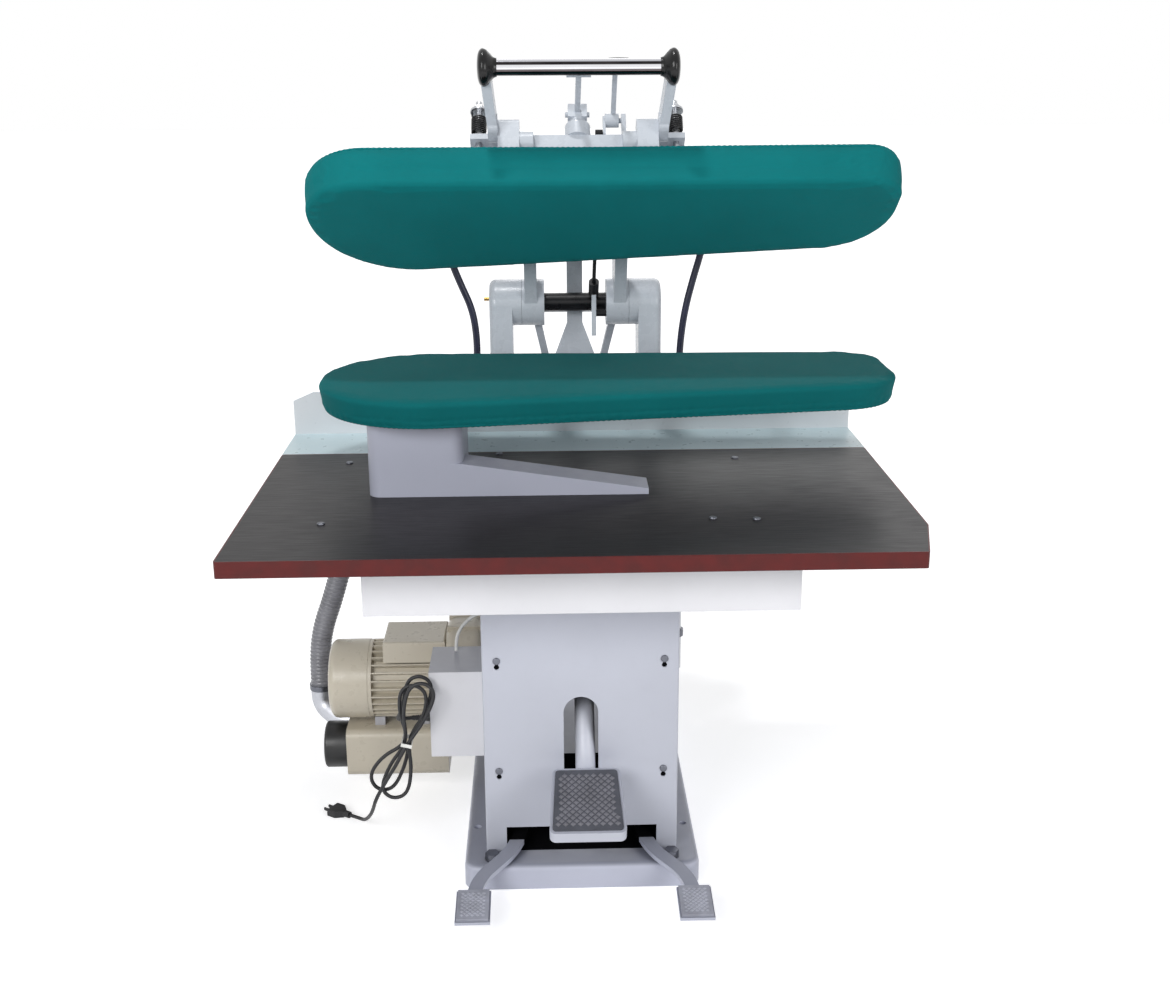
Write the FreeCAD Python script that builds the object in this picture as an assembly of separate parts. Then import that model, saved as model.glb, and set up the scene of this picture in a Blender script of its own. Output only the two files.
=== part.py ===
import FreeCAD, Part
import math
import os
from FreeCAD import Vector

# Laundry press: a foot pedal swings a padded steam head down onto a padded buck.
# Millimetres. X runs right, Y back, Z up; the origin is on the floor under the middle of the base.
# The head rests open. Its pieces are drawn closed and then swung up about the main shaft.

# Fits
run_fit = 0.05
seat_gap = 0.3

# Base plate and its bolts
base_width = 455.0
base_depth = 800.0
base_height = 50.0
base_corner = 30.0
base_edge = 12.0
floor_hole_r = 7.0
floor_hole_side = 20.5
floor_hole_front = 150.0
floor_hole_back = 200.0
foot_bolt_side = 53.5
foot_bolt_end = 29.0
foot_bolt_r = 7.0
foot_bolt_depth = 40.0
foot_bolt_flats = 24.0
foot_bolt_head = 10.5
foot_washer_r = 14.8
foot_washer = 3.0

# Column: welded frame behind a folded front cover
column_width = 372.0
column_front = -345.0
column_depth = 400.0
side_sheet = 5.0
side_flange = 36.0
foot_flange = 22.0
cover_sheet = 3.0
cover_return = 25.0
cover_fold = 4.0
notch_half = 146.0
notch_top = 103.0
slot_half = 33.0
slot_top = 378.0
screw_x = 158.0
screw_low = 225.0
screw_high = 454.0
screw_r = 3.0
screw_head_r = 7.0
screw_head = 3.0
screw_length = 12.0
keyhole_r = 5.0
keyhole_drop = 13.0

# Apron tray, table and rear shelf
tray_half = 378.0
tray_front = -520.0
tray_depth = 565.0
tray_height = 113.0
tray_sheet = 3.0
table_half = 600.0
table_front = -628.0
table_depth = 650.0
table_z = 760.0
table_thick = 29.0
table_round = 3.0
table_clip_x = 34.0
table_clip_y = 140.0
edge_band = 2.5
table_screw_places = [(-453, -50), (-453, -440), (-155, 4), (321, -50), (232, -437), (308, -445)]
shelf_depth = 168.0
shelf_sheet = 3.0
shelf_lip = 25.0
splash_height = 92.0
splash_cut_x = 45.0
splash_cut_z = 19.0

# Buck: neck casting, plate and pad
neck_left = -388.0
neck_width = 175.0
neck_front = -287.0
neck_depth = 227.0
neck_round = 25.0
neck_foot_length = 343.0
neck_foot_depth = 70.0
neck_foot_high = 62.0
neck_foot_low = 11.0
neck_port_r = 22.0
neck_port = (-300.0, -170.0)
buck_top_z = 955.0
buck_height = 50.0
buck_corners = [(-494, -389), (622, -238), (622, 74), (-494, 108)]
buck_rounds = [215.0, 130.0, 90.0, 215.0]
buck_belly = 9.0
buck_drawn_in = 14.0
buck_shoulder = 3.0
buck_crown_in = 14.0
buck_crown = 2.0
pad_wall = 8.0
pad_cover = 20.0
plate_wall = 10.0

# Head: chest, back cover and pad, drawn closed on the buck
head_gap = 1.0
head_thick = 80.0
head_corners = [(-508, -278), (612, -278), (612, -36), (-508, 63)]
head_rounds = [120.0, 70.0, 148.0, 200.0]
head_face_in = 9.0
head_face_round = 10.0
head_back_in = 6.0
chest_thick = 34.0
head_skin = 14.0
cover_in = 10.0
cover_drop = 2.0
open_angle = 38.0

# Pillars, main shaft and rear brace
gear_x = 8.0
shaft_y = 290.0
shaft_z = 1024.0
shaft_r = 20.0
hub_r = 50.0
pillar_inner = 116.0
pillar_width = 70.0
pillar_boss = 20.0
pillar_round = 14.0
pillar_depth = 100.0
pillar_wall = 12.0
pillar_head = 84.0
brace_sheet = 12.0
brace_gap = 12.0
brace_low = 640.0
brace_high = 760.0
post_half = 17.0
post_lift = 141.0
gusset_half = 44.0
gusset_low = 900.0
gusset_high = 972.0
anchor_size = 24.0
anchor_thick = 16.0
anchor_lift = 8.0
nipple_r = 4.0
nipple_length = 12.0
nipple_lift = 8.0

# Yoke: two arms turning on the shaft, with their tie bar, horn pin and spring levers
arm_inner = 83.0
arm_thick = 26.0
arm_hub_inner = 67.0
arm_hub_gap = 0.4
arm_elbow = (130.0, 1082.0, 26.0)
arm_tip = (-223.0, 1078.0, 22.0)
arm_root_r = 42.0
arm_flange = 44.0
arm_flange_thick = 10.0
arm_flange_back = 112.0
arm_flange_front = -165.0
arm_flange_lift = 3.0
tie_y = 300.0
tie_lift = 126.0
tie_r = 12.0
tie_lug_r = 22.0
horn_radius = 90.0
horn_pin_r = 8.0
horn_lug_r = 19.0
lever_x = 64.0
lever_end_y = 370.0
lever_end_z = 890.0
lever_thick = 16.0
lever_deep = 44.0
lever_end_deep = 19.0
lever_foot = 14.0
bumper_r = 14.0

# Counterbalance springs
spring_r = 15.0
spring_wire_r = 2.5
spring_coils = 17
spring_stem = 12.0
spring_lead = 22.0

# Head fittings: blocks, crossbar, clevis, levelling rods and springs
block_width = 40.0
block_front = -245.0
block_depth = 70.0
block_top = 1119.0
block_round = 8.0
crossbar_front = -225.0
crossbar_depth = 30.0
crossbar_low = 1060.0
crossbar_high = 1095.0
head_lug_half = 22.0
clevis_r = 24.0
clevis_height = 33.0
clevis_neck_r = 15.0
clevis_neck = 8.0
clevis_top = (36.0, 30.0, 28.0)
clevis_bolt_r = 5.0
outrigger_x = 186.0
outrigger_half = 16.0
outrigger_back = -180.0
outrigger_depth = 32.0
outrigger_z = 1096.0
outrigger_thick = 12.0
level_rod_r = 6.0
level_rod_top = 1188.0
level_spring_r = 13.0
level_spring_wire_r = 1.7
level_spring_coils = 7
level_spring_lead = 10.0
level_spring_height = 58.0
level_nut_flats = 19.0
level_nut = 12.0
level_foot = 26.0
level_foot_height = 30.0

# Handle
handle_y = -370.0
handle_z = 1136.0
handle_r = 14.5
handle_arm_thick = 18.0
handle_arm_root = (-230.0, 1092.0, 14.0)
handle_arm_foot = (-252.0, 1100.0, 20.0)
handle_arm_lean = 11.0
handle_arm_deep = 34.0
handle_tip_deep = 37.0
handle_tip_past = 18.0
knob_r = 33.0
knob_length = 35.0
knob_back = 23.0
knob_grip = 0.72
knob_shape = [(0.0, 0.49), (0.16, 0.56), (0.33, 0.76), (0.49, 0.93), (0.64, 1.0), (0.77, 0.98), (0.89, 0.86),
              (0.96, 0.64), (1.0, 0.37), (1.0, 0.0), (0.0, 0.0)]
strut_half = 5.0
strut_thick = 5.5
saddle_half = 22.0
saddle_depth = 15.0
saddle_thick = 5.0
saddle_wrap = 0.5
saddle_bolt_r = 3.5

# Steam lever on the handle, its rod and the valve that the rod works
steam_pivot_y = -205.0
steam_pivot_z = 1140.0
steam_pivot_r = 5.0
steam_hub_r = 13.0
steam_hub = (60.0, 86.0)
steam_blade = (71.5, 80.5)
steam_blade_thick = 5.0
steam_bend = (-290.0, 1166.0)
steam_tip = (-350.0, 1165.0)
steam_grip_r = 4.0
steam_grip = (62.0, 100.0)
steam_crank = 28.0
steam_crank_thick = 4.0
steam_bracket_thick = 8.0
steam_rod_r = 4.0
steam_pin_r = 3.0
steam_clevis_r = 7.0
steam_clevis_length = 34.0
steam_rod_x = 48.0
valve_y = 245.0
valve_z = 1030.0
valve_r = 11.0
valve_length = 40.0
valve_bar = 14.0
valve_bar_thick = 6.0
valve_bar_drop = 100.0
valve_strip_width = 10.0
valve_strip_thick = 3.0

# Steam and condensate pipes behind the table, and the hoses up to the head
pipe_r = 13.0
pipe_bore_r = 10.5
pipe_thread = 0.6
pipe_y = 230.0
pipe_low = 180.0
pipe_stub_z = 205.0
pipe_stub_y = 310.0
pipe_stub_bore_r = 10.0
pipe_high = 640.0
left_pipe_x = -205.0
right_pipe_x = 233.0
pipe_clamp_z = (260.0, 560.0)
pipe_clamp_height = 16.0
pipe_clamp_wall = 5.0
hose_r = 7.5
hose_start = 31.0
hose_nut_flats = 27.0
hose_nut = 20.0
head_port = [(-262.0, -15.0), (286.0, -62.0)]
head_port_r = 11.0
head_port_height = 30.0
left_hose_bends = [(-262, 137, 1293), (-262, 190, 1283), (-262, 225, 1242), (-261, 226, 1184),
                   (-256, 225, 1126), (-236, 226, 1074), (-213, 228, 1020), (-205, 230, 960),
                   (-206, 231, 896), (-204, 229, 820), (-205, 230, 738)]
right_hose_bends = [(286, 108, 1327), (288, 175, 1315), (289, 217, 1266), (287, 226, 1206), (277, 228, 1142),
                    (259, 229, 1080), (243, 230, 1014), (234, 231, 944), (232, 229, 874), (234, 231, 806),
                    (233, 230, 734)]

# Main pedal, its pivot and push rod
pedal_pivot_y = 0.0
pedal_pivot_z = 380.0
pedal_pin_r = 12.5
pedal_hub_r = 32.0
pedal_hub_half = 30.0
pedal_rear_radius = 375.0
pedal_bar_r = 19.0
pedal_bends = [(-190.0, 376.0), (-285.0, 335.0), (-338.0, 258.0), (-358.0, 190.0), (-430.0, 174.0)]
pedal_front = (-527.0, 195.0)
pedal_rear = (-392.0, 254.5)
pedal_front_width = 142.0
pedal_rear_width = 127.0
pedal_corner = 12.0
pedal_tray = 20.0
pedal_rubber = 9.0
pedal_rim = 6.0
pedal_seat_half = 20.0
pedal_seat_deep = 32.0
pedal_seat_back = 48.0
pedal_seat_front = -14.0
rear_arm_half = 8.0
rear_arm_root_r = 28.0
rear_arm_tip_r = 18.0
fork_half = 20.0
fork_gap = 0.5
fork_length = 96.0
fork_throat = 4.0
rod_pin_r = 8.0
rod_eye_r = 19.0
rod_eye_half = 10.0
rod_r = 10.0
rod_open_play = 2.6
rod_lean = 1.9

# Small pedals on their cross shaft, with the valves that they lift
small_pivot_y = -150.0
small_pivot_z = 97.0
small_shaft_r = 8.0
small_hub_r = 15.0
small_hub_half = 16.0
small_tilt = 8.3
small_lever_width = 27.0
small_lever_thick = 10.0
small_lever_x = 118.0
small_pad_x = 204.0
small_lever_back = -92.0
small_bend_start = -352.0
small_bend_end = -462.0
small_pad_y = -538.0
small_pad_width = 64.0
small_pad_length = 84.0
small_pad_tray = 6.0
small_pad_rubber = 6.0
small_pad_rim = 3.0
striker_r = 5.0
striker_height = 18.0
striker_y = -100.0
foot_valve_r = 14.0
foot_valve_low = 116.0
foot_valve_height = 46.0
foot_valve_play = 5.5
foot_valve_arm = 14.0

# Electrical box on the left of the column
ebox_left = -297.0
ebox_front = -225.0
ebox_depth = 128.0
ebox_low = 196.0
ebox_height = 183.0
ebox_sheet = 2.0
ebox_lid_return = 12.0
contactor_size = (60.0, 50.0, 82.0)
control_lead_r = 3.5
control_lead_bends = [(-248, -118, 402), (-240, -117, 426), (-222, -116, 446), (-203, -115, 459)]

# Side-channel blower: motor, cowl, terminal box, housing, rotor, silencer
blower_y = 40.0
blower_z = 251.0
cowl_left = -528.0
cowl_length = 84.0
cowl_r = 85.0
cowl_wall = 3.0
cowl_round = 16.0
cowl_slots = 12
motor_core_r = 68.0
motor_fin_r = 84.0
motor_fin = 3.0
motor_fins = 30
housing_left = -278.0
housing_width = 82.0
housing_r = 130.0
housing_round = 22.0
housing_rib = 6.0
housing_ribs = 12
impeller_r = 96.0
impeller_width = 34.0
impeller_side = 14.0
impeller_play = 2.0
impeller_blades = 18
motor_shaft_r = 9.0
fan_r = 68.0
fan_width = 16.0
fan_blades = 8
fan_gap = 8.0
tbox_left = -410.0
tbox_front = -20.0
tbox_depth = 120.0
tbox_low = 296.0
tbox_height = 61.0
silencer_left = -496.0
silencer_y = 20.0
silencer_low = 51.0
silencer_high = 158.0
silencer_deep = 110.0
silencer_round = 18.0
silencer_cap_r = 50.0
silencer_cap = 50.0
silencer_cap_bore = 30.0
motor_foot = 22.0
motor_foot_places = (-425.0, -330.0)
bracket_deep = 96.0
bracket_low = 190.0
bracket_high = 330.0

# Suction line from the neck to the silencer
suction_r = 24.0
suction_wall = 3.0
suction_z = 688.0
suction_bends = [(-440.0, -170.0), (-505.0, -60.0), (-505.0, 172.0)]
hose_top_z = 600.0
hose_bends = [(-505, 172, 546), (-513, 172, 470), (-537, 172, 390), (-566, 172, 312), (-576, 172, 240)]
hose_bottom = (-576.0, 172.0, 180.0)
hose_rib_r = 23.5
hose_valley_r = 21.0
hose_bore_r = 18.5
hose_rib_pitch = 9.0
elbow_bends = [(-576.0, 172.0, 128.0), (-530.0, 140.0, 104.0)]
elbow_end_x = -470.0
elbow_end_z = 104.0
clamp_band = 2.0
clamp_width = 12.0

# Power cord, tied in a hank beside the box, with its plug on the floor
cord_r = 3.75
gland_y = -158.0
gland_z = 250.0
gland_root_r = 10.0
gland_tip_r = 6.0
gland_length = 22.0
cord_lead_points = [(-338, -158, 250), (-356, -170, 254), (-363, -194, 264), (-362, -219, 280)]
hank_middle = Vector(-341.0, -238.0, 246.0)
hank_lean = 13.5
hank_step = 9.2
hank_tops = [[(-23, 60), (-27, 122), (0, 139), (27, 122), (23, 60)],
             [(-27, 52), (-36, 104), (-8, 122), (20, 104), (21, 50)],
             [(-21, 60), (-21, 116), (7, 134), (35, 116), (25, 56)]]
hank_bottoms = [[(5, 14), (5, -14), (6, -60), (-6, -116), (-39, -124), (-60, -95), (-42, -48), (-5, -14),
                 (-5, 14)],
                [(5, 14), (5, -14), (20, -58), (24, -115), (-4, -133), (-32, -115), (-24, -58), (-5, -14),
                 (-5, 14)]]
cord_tail_points = [(-342, -266, 243), (-362, -270, 205), (-387, -273, 165), (-408, -265, 124),
                    (-418, -237, 86), (-430, -202, 52), (-446, -166, 22), (-459, -135, 8)]
tie_height = 7.0
tie_half = 9.4
tie_band = 1.6
plug_start = Vector(-484.0, -118.5, 7.6)
plug_heading = 147.0
plug_length = 34.0
plug_width = 34.0
plug_neck = 14.0
plug_thick = 15.0
plug_pin = (16.0, 6.0, 1.6)
plug_pin_spread = 7.0

# Values worked out from the sizes above
table_low = table_z - table_thick
tray_low = table_low - tray_height
table_back = table_front + table_depth
shelf_back = table_back + shelf_depth
column_back = column_front + column_depth
frame_half = column_width / 2 - cover_sheet - seat_gap
frame_inside = frame_half - side_sheet
buck_low = buck_top_z - buck_height
neck_right = neck_left + neck_width
face_z = buck_top_z + head_gap
head_back_z = face_z + head_thick
cover_top_z = head_back_z - cover_drop
chest_low_z = face_z + pad_cover
chest_top_z = chest_low_z + chest_thick
pillar_outer = pillar_inner + pillar_width
tie_z = shaft_z + tie_lift
post_top = shaft_z + post_lift
brace_front = shaft_y + shaft_r + brace_gap
brace_back = brace_front + brace_sheet
arm_outer = arm_inner + arm_thick
block_outer = arm_outer + block_width
knob_root = block_outer + handle_arm_thick / 2 + handle_arm_lean - knob_back
horn_half_angle = open_angle / 2
horn_y = shaft_y + horn_radius * math.cos(math.radians(horn_half_angle))
horn_z = shaft_z - horn_radius * math.sin(math.radians(horn_half_angle))
pedal_half_swing = math.asin(horn_radius * math.sin(math.radians(horn_half_angle)) / pedal_rear_radius)
rear_pin_y = pedal_pivot_y + pedal_rear_radius * math.cos(pedal_half_swing)
rear_pin_z = pedal_pivot_z - pedal_rear_radius * math.sin(pedal_half_swing)
motor_left = cowl_left + cowl_length
housing_right = housing_left + housing_width
ebox_back = ebox_front + ebox_depth
ebox_top = ebox_low + ebox_height


# Shape helpers

def block(x, y, z):
    """Box between two limits along each axis."""
    corner = Vector(x[0], y[0], z[0])
    return Part.makeBox(x[1] - x[0], y[1] - y[0], z[1] - z[0], corner)


def around(middle, half):
    """Limits at equal distances from a middle."""
    return (middle - half, middle + half)


def rod(start, end, radius):
    """Round bar between two points."""
    axis = Vector(end) - Vector(start)
    return Part.makeCylinder(radius, axis.Length, Vector(start), axis)


def disc(x, y, z, radius):
    """Round bar along X between two limits."""
    return rod((x[0], y, z), (x[1], y, z), radius)


def hexagon(place, flats, height):
    """Upright hexagon bar on a place."""
    reach = flats / math.sqrt(3)
    corners = [Vector(reach * math.cos(math.radians(60 * i)), reach * math.sin(math.radians(60 * i)), 0)
               for i in range(6)]
    prism = Part.Face(Part.makePolygon(corners + corners[:1])).extrude(Vector(0, 0, height))
    prism.translate(Vector(place))
    return prism


def unit(vector):
    """Copy of a vector with length one."""
    return Vector(vector).normalize()


def fuse(shapes):
    """One solid out of several that share volume."""
    joined = shapes[0].multiFuse(shapes[1:])
    return joined.removeSplitter()


def link(first, second, x):
    """Plate across X with the outline of a belt round two circles, each given as y, z and radius."""
    a = Vector(0, first[0], first[1])
    b = Vector(0, second[0], second[1])
    along = unit(b - a)
    lean = math.acos((first[2] - second[2]) / (b - a).Length)
    side = Vector(0, -along.z, along.y)
    left = along * math.cos(lean) + side * math.sin(lean)
    right = along * math.cos(lean) - side * math.sin(lean)
    start_left = a + left * first[2]
    end_left = b + left * second[2]
    end_right = b + right * second[2]
    start_right = a + right * first[2]
    edges = [
        Part.LineSegment(start_left, end_left).toShape(),
        Part.Arc(end_left, b + along * second[2], end_right).toShape(),
        Part.LineSegment(end_right, start_right).toShape(),
        Part.Arc(start_right, a - along * first[2], start_left).toShape(),
    ]
    face = Part.Face(Part.Wire(edges))
    plate = face.extrude(Vector(x[1] - x[0], 0, 0))
    plate.translate(Vector(x[0], 0, 0))
    return plate


def outline(corners, rounds, inset, z):
    """Level closed wire: a convex outline moved inward, with its corners rounded."""
    count = len(corners)
    sides = []
    for i in range(count):
        a = Vector(corners[i][0], corners[i][1], z)
        b = Vector(corners[(i + 1) % count][0], corners[(i + 1) % count][1], z)
        along = unit(b - a)
        sides.append((a + Vector(-along.y, along.x, 0) * inset, along))
    starts = []
    ends = []
    arcs = []
    for i in range(count):
        before, arrive = sides[i - 1]
        after, leave = sides[i]
        spread = arrive.x * leave.y - arrive.y * leave.x
        reach = ((after.x - before.x) * leave.y - (after.y - before.y) * leave.x) / spread
        corner = before + arrive * reach
        half = arrive.getAngle(leave) / 2
        radius = rounds[i] - inset
        start = corner - arrive * (radius * math.tan(half))
        end = corner + leave * (radius * math.tan(half))
        bisector = unit(leave - arrive)
        middle = corner + bisector * (radius / math.cos(half) - radius)
        starts.append(start)
        ends.append(end)
        arcs.append(Part.Arc(start, middle, end).toShape())
    edges = []
    for i in range(count):
        edges.append(arcs[i])
        edges.append(Part.LineSegment(ends[i], starts[(i + 1) % count]).toShape())
    return Part.Wire(edges)


def slab(corners, rounds, inset, z):
    """Plate of that outline between two heights."""
    face = Part.Face(outline(corners, rounds, inset, z[0]))
    return face.extrude(Vector(0, 0, z[1] - z[0]))


def cushion(corners, rounds, levels):
    """Solid through level outlines, each given as a height and an inset."""
    wires = [outline(corners, rounds, inset, z) for z, inset in levels]
    return Part.makeLoft(wires, True, True)


def route(points, name):
    """Straight runs joined by tangent arcs, each arc as large as its two runs allow."""
    corners = [Vector(p) for p in points]
    edges = []
    radii = []
    start = corners[0]
    for before, corner, after in zip(corners, corners[1:], corners[2:]):
        arrive = unit(corner - before)
        leave = unit(after - corner)
        half = arrive.getAngle(leave) / 2
        reach = 0.45 * min((corner - before).Length, (after - corner).Length)
        radius = reach / math.tan(half)
        first = corner - arrive * reach
        last = corner + leave * reach
        middle = corner + unit(leave - arrive) * (radius / math.cos(half) - radius)
        edges.append(Part.LineSegment(start, first).toShape())
        edges.append(Part.Arc(first, middle, last).toShape())
        radii.append(radius)
        start = last
    edges.append(Part.LineSegment(start, corners[-1]).toShape())
    print(name, "radii", [round(r, 1) for r in radii])
    return edges


def tube(edges, radius, name):
    """Round solid along edges that meet end to end."""
    path = Part.Wire(edges)
    first = edges[0]
    ring = Part.Wire(Part.makeCircle(radius, first.valueAt(first.FirstParameter),
                                     first.tangentAt(first.FirstParameter)))
    solid = path.makePipeShell([ring], True, False)
    ideal = math.pi * radius * radius * path.Length
    share = round(solid.Volume / ideal, 4)
    print(name, "length", round(path.Length, 1), "volume to section times length", share)
    return solid


def hollow_tube(edges, radius, wall, name):
    """Pipe along edges, open at both ends."""
    return tube(edges, radius, name).cut(tube(edges, radius - wall, name + " bore"))


def biarcs(points, headings):
    """Pairs of arcs that leave and reach each point along its heading."""
    edges = []
    for p, q, leave, arrive in zip(points, points[1:], headings, headings[1:]):
        gap = q - p
        total = leave + arrive
        square = total.dot(total) - 4
        cross = gap.dot(total)
        if abs(square) < 1e-9:
            handle = gap.dot(gap) / (2 * cross)
        else:
            handle = (cross - math.sqrt(cross * cross - square * gap.dot(gap))) / square
        first = p + leave * handle
        second = q - arrive * handle
        meet = (first + second) * 0.5
        for a, peak, b in ((p, first, meet), (meet, second, q)):
            base = (a + b) * 0.5
            turn = (peak - a).getAngle(b - a)
            if turn < 1e-6:
                edges.append(Part.LineSegment(a, b).toShape())
            else:
                crest = base + (peak - base) * (math.tan(turn / 2) / math.tan(turn))
                edges.append(Part.Arc(a, crest, b).toShape())
    return edges


def spring(base, height, radius, wire_r, coils, stem, lead, end_radius, name):
    """Upright coil spring of one unbroken wire, with straight upright ends."""
    rise = height - 2 * stem - 2 * lead
    quarters = 4 * coils
    points = [Vector(end_radius, 0, 0), Vector(end_radius, 0, stem)]
    headings = [Vector(0, 0, 1), Vector(0, 0, 1)]
    slope = rise / quarters / (radius * math.pi / 2)
    for i in range(quarters + 1):
        angle = math.pi / 2 * (i + 1)
        z = stem + lead + rise * i / quarters
        points.append(Vector(radius * math.cos(angle), radius * math.sin(angle), z))
        headings.append(unit(Vector(-math.sin(angle), math.cos(angle), slope)))
    angle = math.pi / 2 * (quarters + 2)
    finish = Vector(end_radius * math.cos(angle), end_radius * math.sin(angle), height - stem)
    points.append(finish)
    headings.append(Vector(0, 0, 1))
    points.append(finish + Vector(0, 0, stem))
    headings.append(Vector(0, 0, 1))
    edges = biarcs(points, headings)
    samples = []
    for edge in edges:
        samples += edge.discretize(9)[:-1]
    around_coil = int(0.75 * 8 * 8)
    least = min(samples[i].distanceToPoint(samples[j])
                for i in range(len(samples)) for j in range(i + around_coil, len(samples)))
    print(name, "least gap to itself", round(least - 2 * wire_r, 2))
    solid = tube(edges, wire_r, name)
    solid.translate(Vector(base))
    return solid


def swing(shape):
    """Copy of a piece of the head, turned from closed to open about the main shaft."""
    turned = shape.copy()
    turned.rotate(Vector(0, shaft_y, shaft_z), Vector(1, 0, 0), -open_angle)
    return turned


def swing_point(point):
    """Place on the open head of a point given closed."""
    return swing(Part.Vertex(point)).Point


def side_limits(side, inner, outer):
    """X limits on the left (-1) or right (+1) of the gear's middle."""
    return tuple(sorted((gear_x + side * inner, gear_x + side * outer)))


def save(name, shapes):
    """Write a node, as one solid or a group."""
    shape = shapes if isinstance(shapes, Part.Shape) else Part.makeCompound(shapes)
    shape.exportStep("parts/" + name + ".step")
    volume = round(shape.Volume / 1000, 1)
    print(name, len(shape.Solids), "solids, valid", shape.isValid(), "volume", volume, "cm3")


# Base and column

def base_casting():
    half_x = base_width / 2
    half_y = base_depth / 2
    corners = [(-half_x, -half_y), (half_x, -half_y), (half_x, half_y), (-half_x, half_y)]
    plate = slab(corners, [base_corner] * 4, 0, (0, base_height))
    top_edges = [edge for edge in plate.Edges if edge.BoundBox.ZMin > base_height - 0.01]
    plate = plate.makeFillet(base_edge, top_edges)
    hole_x = half_x - floor_hole_side
    for x in (-hole_x, hole_x):
        for y in (floor_hole_front - half_y, half_y - floor_hole_back):
            plate = plate.cut(rod((x, y, -1), (x, y, base_height + 1), floor_hole_r))
    for x, y in foot_bolt_places():
        low = base_height - foot_bolt_depth - seat_gap
        plate = plate.cut(rod((x, y, low), (x, y, base_height + 1), foot_bolt_r + run_fit))
    return plate


def foot_bolt_places():
    bolt_x = base_width / 2 - foot_bolt_side
    bolt_y = base_depth / 2 - foot_bolt_end
    return [(x, y) for x in (-bolt_x, bolt_x) for y in (-bolt_y, bolt_y)]


def foot_bolts():
    bolts = []
    for x, y in foot_bolt_places():
        washer = rod((x, y, base_height), (x, y, base_height + foot_washer), foot_washer_r)
        head = hexagon((x, y, base_height + foot_washer), foot_bolt_flats, foot_bolt_head)
        shank = rod((x, y, base_height - foot_bolt_depth), (x, y, base_height + foot_washer), foot_bolt_r)
        bolts.append(fuse([washer, head, shank]))
    return bolts


def column_frame():
    front = column_front + cover_sheet
    height = (base_height, tray_low)
    pieces = []
    for side in (-1, 1):
        wall = tuple(sorted((side * frame_half, side * frame_inside)))
        flange = tuple(sorted((side * frame_half, side * (frame_half - side_flange))))
        foot = tuple(sorted((side * frame_half, side * (frame_half - foot_flange))))
        pieces.append(block(wall, (front, column_back), height))
        pieces.append(block(flange, (front, front + side_sheet), height))
        pieces.append(block(foot, (front, column_back), (base_height, base_height + side_sheet)))
    pieces.append(block((-frame_half, frame_half), (front, column_back), (tray_low - side_sheet, tray_low)))
    frame = fuse(pieces)
    across = around(0, frame_half + 1)
    frame = frame.cut(disc(across, pedal_pivot_y, pedal_pivot_z, pedal_pin_r + run_fit))
    frame = frame.cut(disc(across, small_pivot_y, small_pivot_z, small_shaft_r + run_fit))
    for x, z in cover_screw_places():
        frame = frame.cut(rod((x, front - 1, z), (x, front + screw_length, z), screw_r + run_fit))
    return frame


def cover_screw_places():
    return [(x, z) for x in (-screw_x, screw_x) for z in (screw_low, screw_high)]


def front_cover():
    half = column_width / 2
    back = column_front + cover_sheet
    low = base_height + seat_gap
    high = tray_low - seat_gap
    sheet = block((-half, half), (column_front, column_front + cover_return), (low, high))
    upright = [edge for edge in sheet.Edges
               if edge.BoundBox.ZLength > 1 and edge.BoundBox.YMax < column_front + 0.01]
    sheet = sheet.makeFillet(cover_fold, upright)
    inside = half - cover_sheet
    sheet = sheet.cut(block((-inside, inside), (back, column_front + cover_return + 1), (low - 1, high + 1)))
    through = (column_front - 1, back + 1)
    sheet = sheet.cut(block((-notch_half, notch_half), through, (low - 1, notch_top)))
    arch_z = slot_top - slot_half
    sheet = sheet.cut(block((-slot_half, slot_half), through, (notch_top - 1, arch_z)))
    sheet = sheet.cut(rod((0, through[0], arch_z), (0, through[1], arch_z), slot_half))
    for x, z in cover_screw_places():
        sheet = sheet.cut(rod((x, through[0], z), (x, through[1], z), screw_r + run_fit))
        key_z = z - keyhole_drop
        sheet = sheet.cut(block(around(x, screw_r), through, (key_z, z)))
        sheet = sheet.cut(rod((x, through[0], key_z), (x, through[1], key_z), keyhole_r))
    return sheet


def pan_screw(place, heading):
    """Low round-headed screw: its head stands on a face, its shank goes in along the heading."""
    heading = Vector(heading)
    place = Vector(place)
    head = rod(place - heading * screw_head, place, screw_head_r)
    rim = [edge for edge in head.Edges if (edge.CenterOfMass - place).dot(heading) < -screw_head + 0.1]
    head = head.makeFillet(screw_head * 0.6, rim)
    return fuse([head, rod(place - heading, place + heading * screw_length, screw_r)])


def screws():
    cover = [pan_screw((x, column_front, z), (0, 1, 0)) for x, z in cover_screw_places()]
    table = [pan_screw((x, y, table_z), (0, 0, -1)) for x, y in table_screw_places]
    return cover + table


# Tray, table and shelf

def tray_outline(inset):
    x = tray_half - inset
    front = tray_front + inset
    back = tray_front + tray_depth - inset
    z = tray_low + tray_sheet
    return [Vector(-x, front, z), Vector(x, front, z), Vector(x, back, z), Vector(-x, back, z)]


def apron_tray():
    """Floor and four mitred walls; the suction pipe passes through the left wall."""
    panels = [block((-tray_half, tray_half), (tray_front, tray_front + tray_depth),
                    (tray_low, tray_low + tray_sheet))]
    outer = tray_outline(0)
    inner = tray_outline(tray_sheet)
    for start in range(4):
        end = (start + 1) % 4
        profile = [outer[start], outer[end], inner[end], inner[start]]
        wall = Part.Face(Part.makePolygon(profile + profile[:1]))
        panels.append(wall.extrude(Vector(0, 0, tray_height - tray_sheet)))
    hole_x = (-tray_half - 1, -tray_half + tray_sheet + 1)
    panels[-1] = panels[-1].cut(disc(hole_x, neck_port[1], suction_z, suction_r + seat_gap))
    return panels


def table_corners():
    return [(-table_half, table_front), (table_half - table_clip_x, table_front),
            (table_half, table_front + table_clip_y), (table_half, table_back), (-table_half, table_back)]


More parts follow.
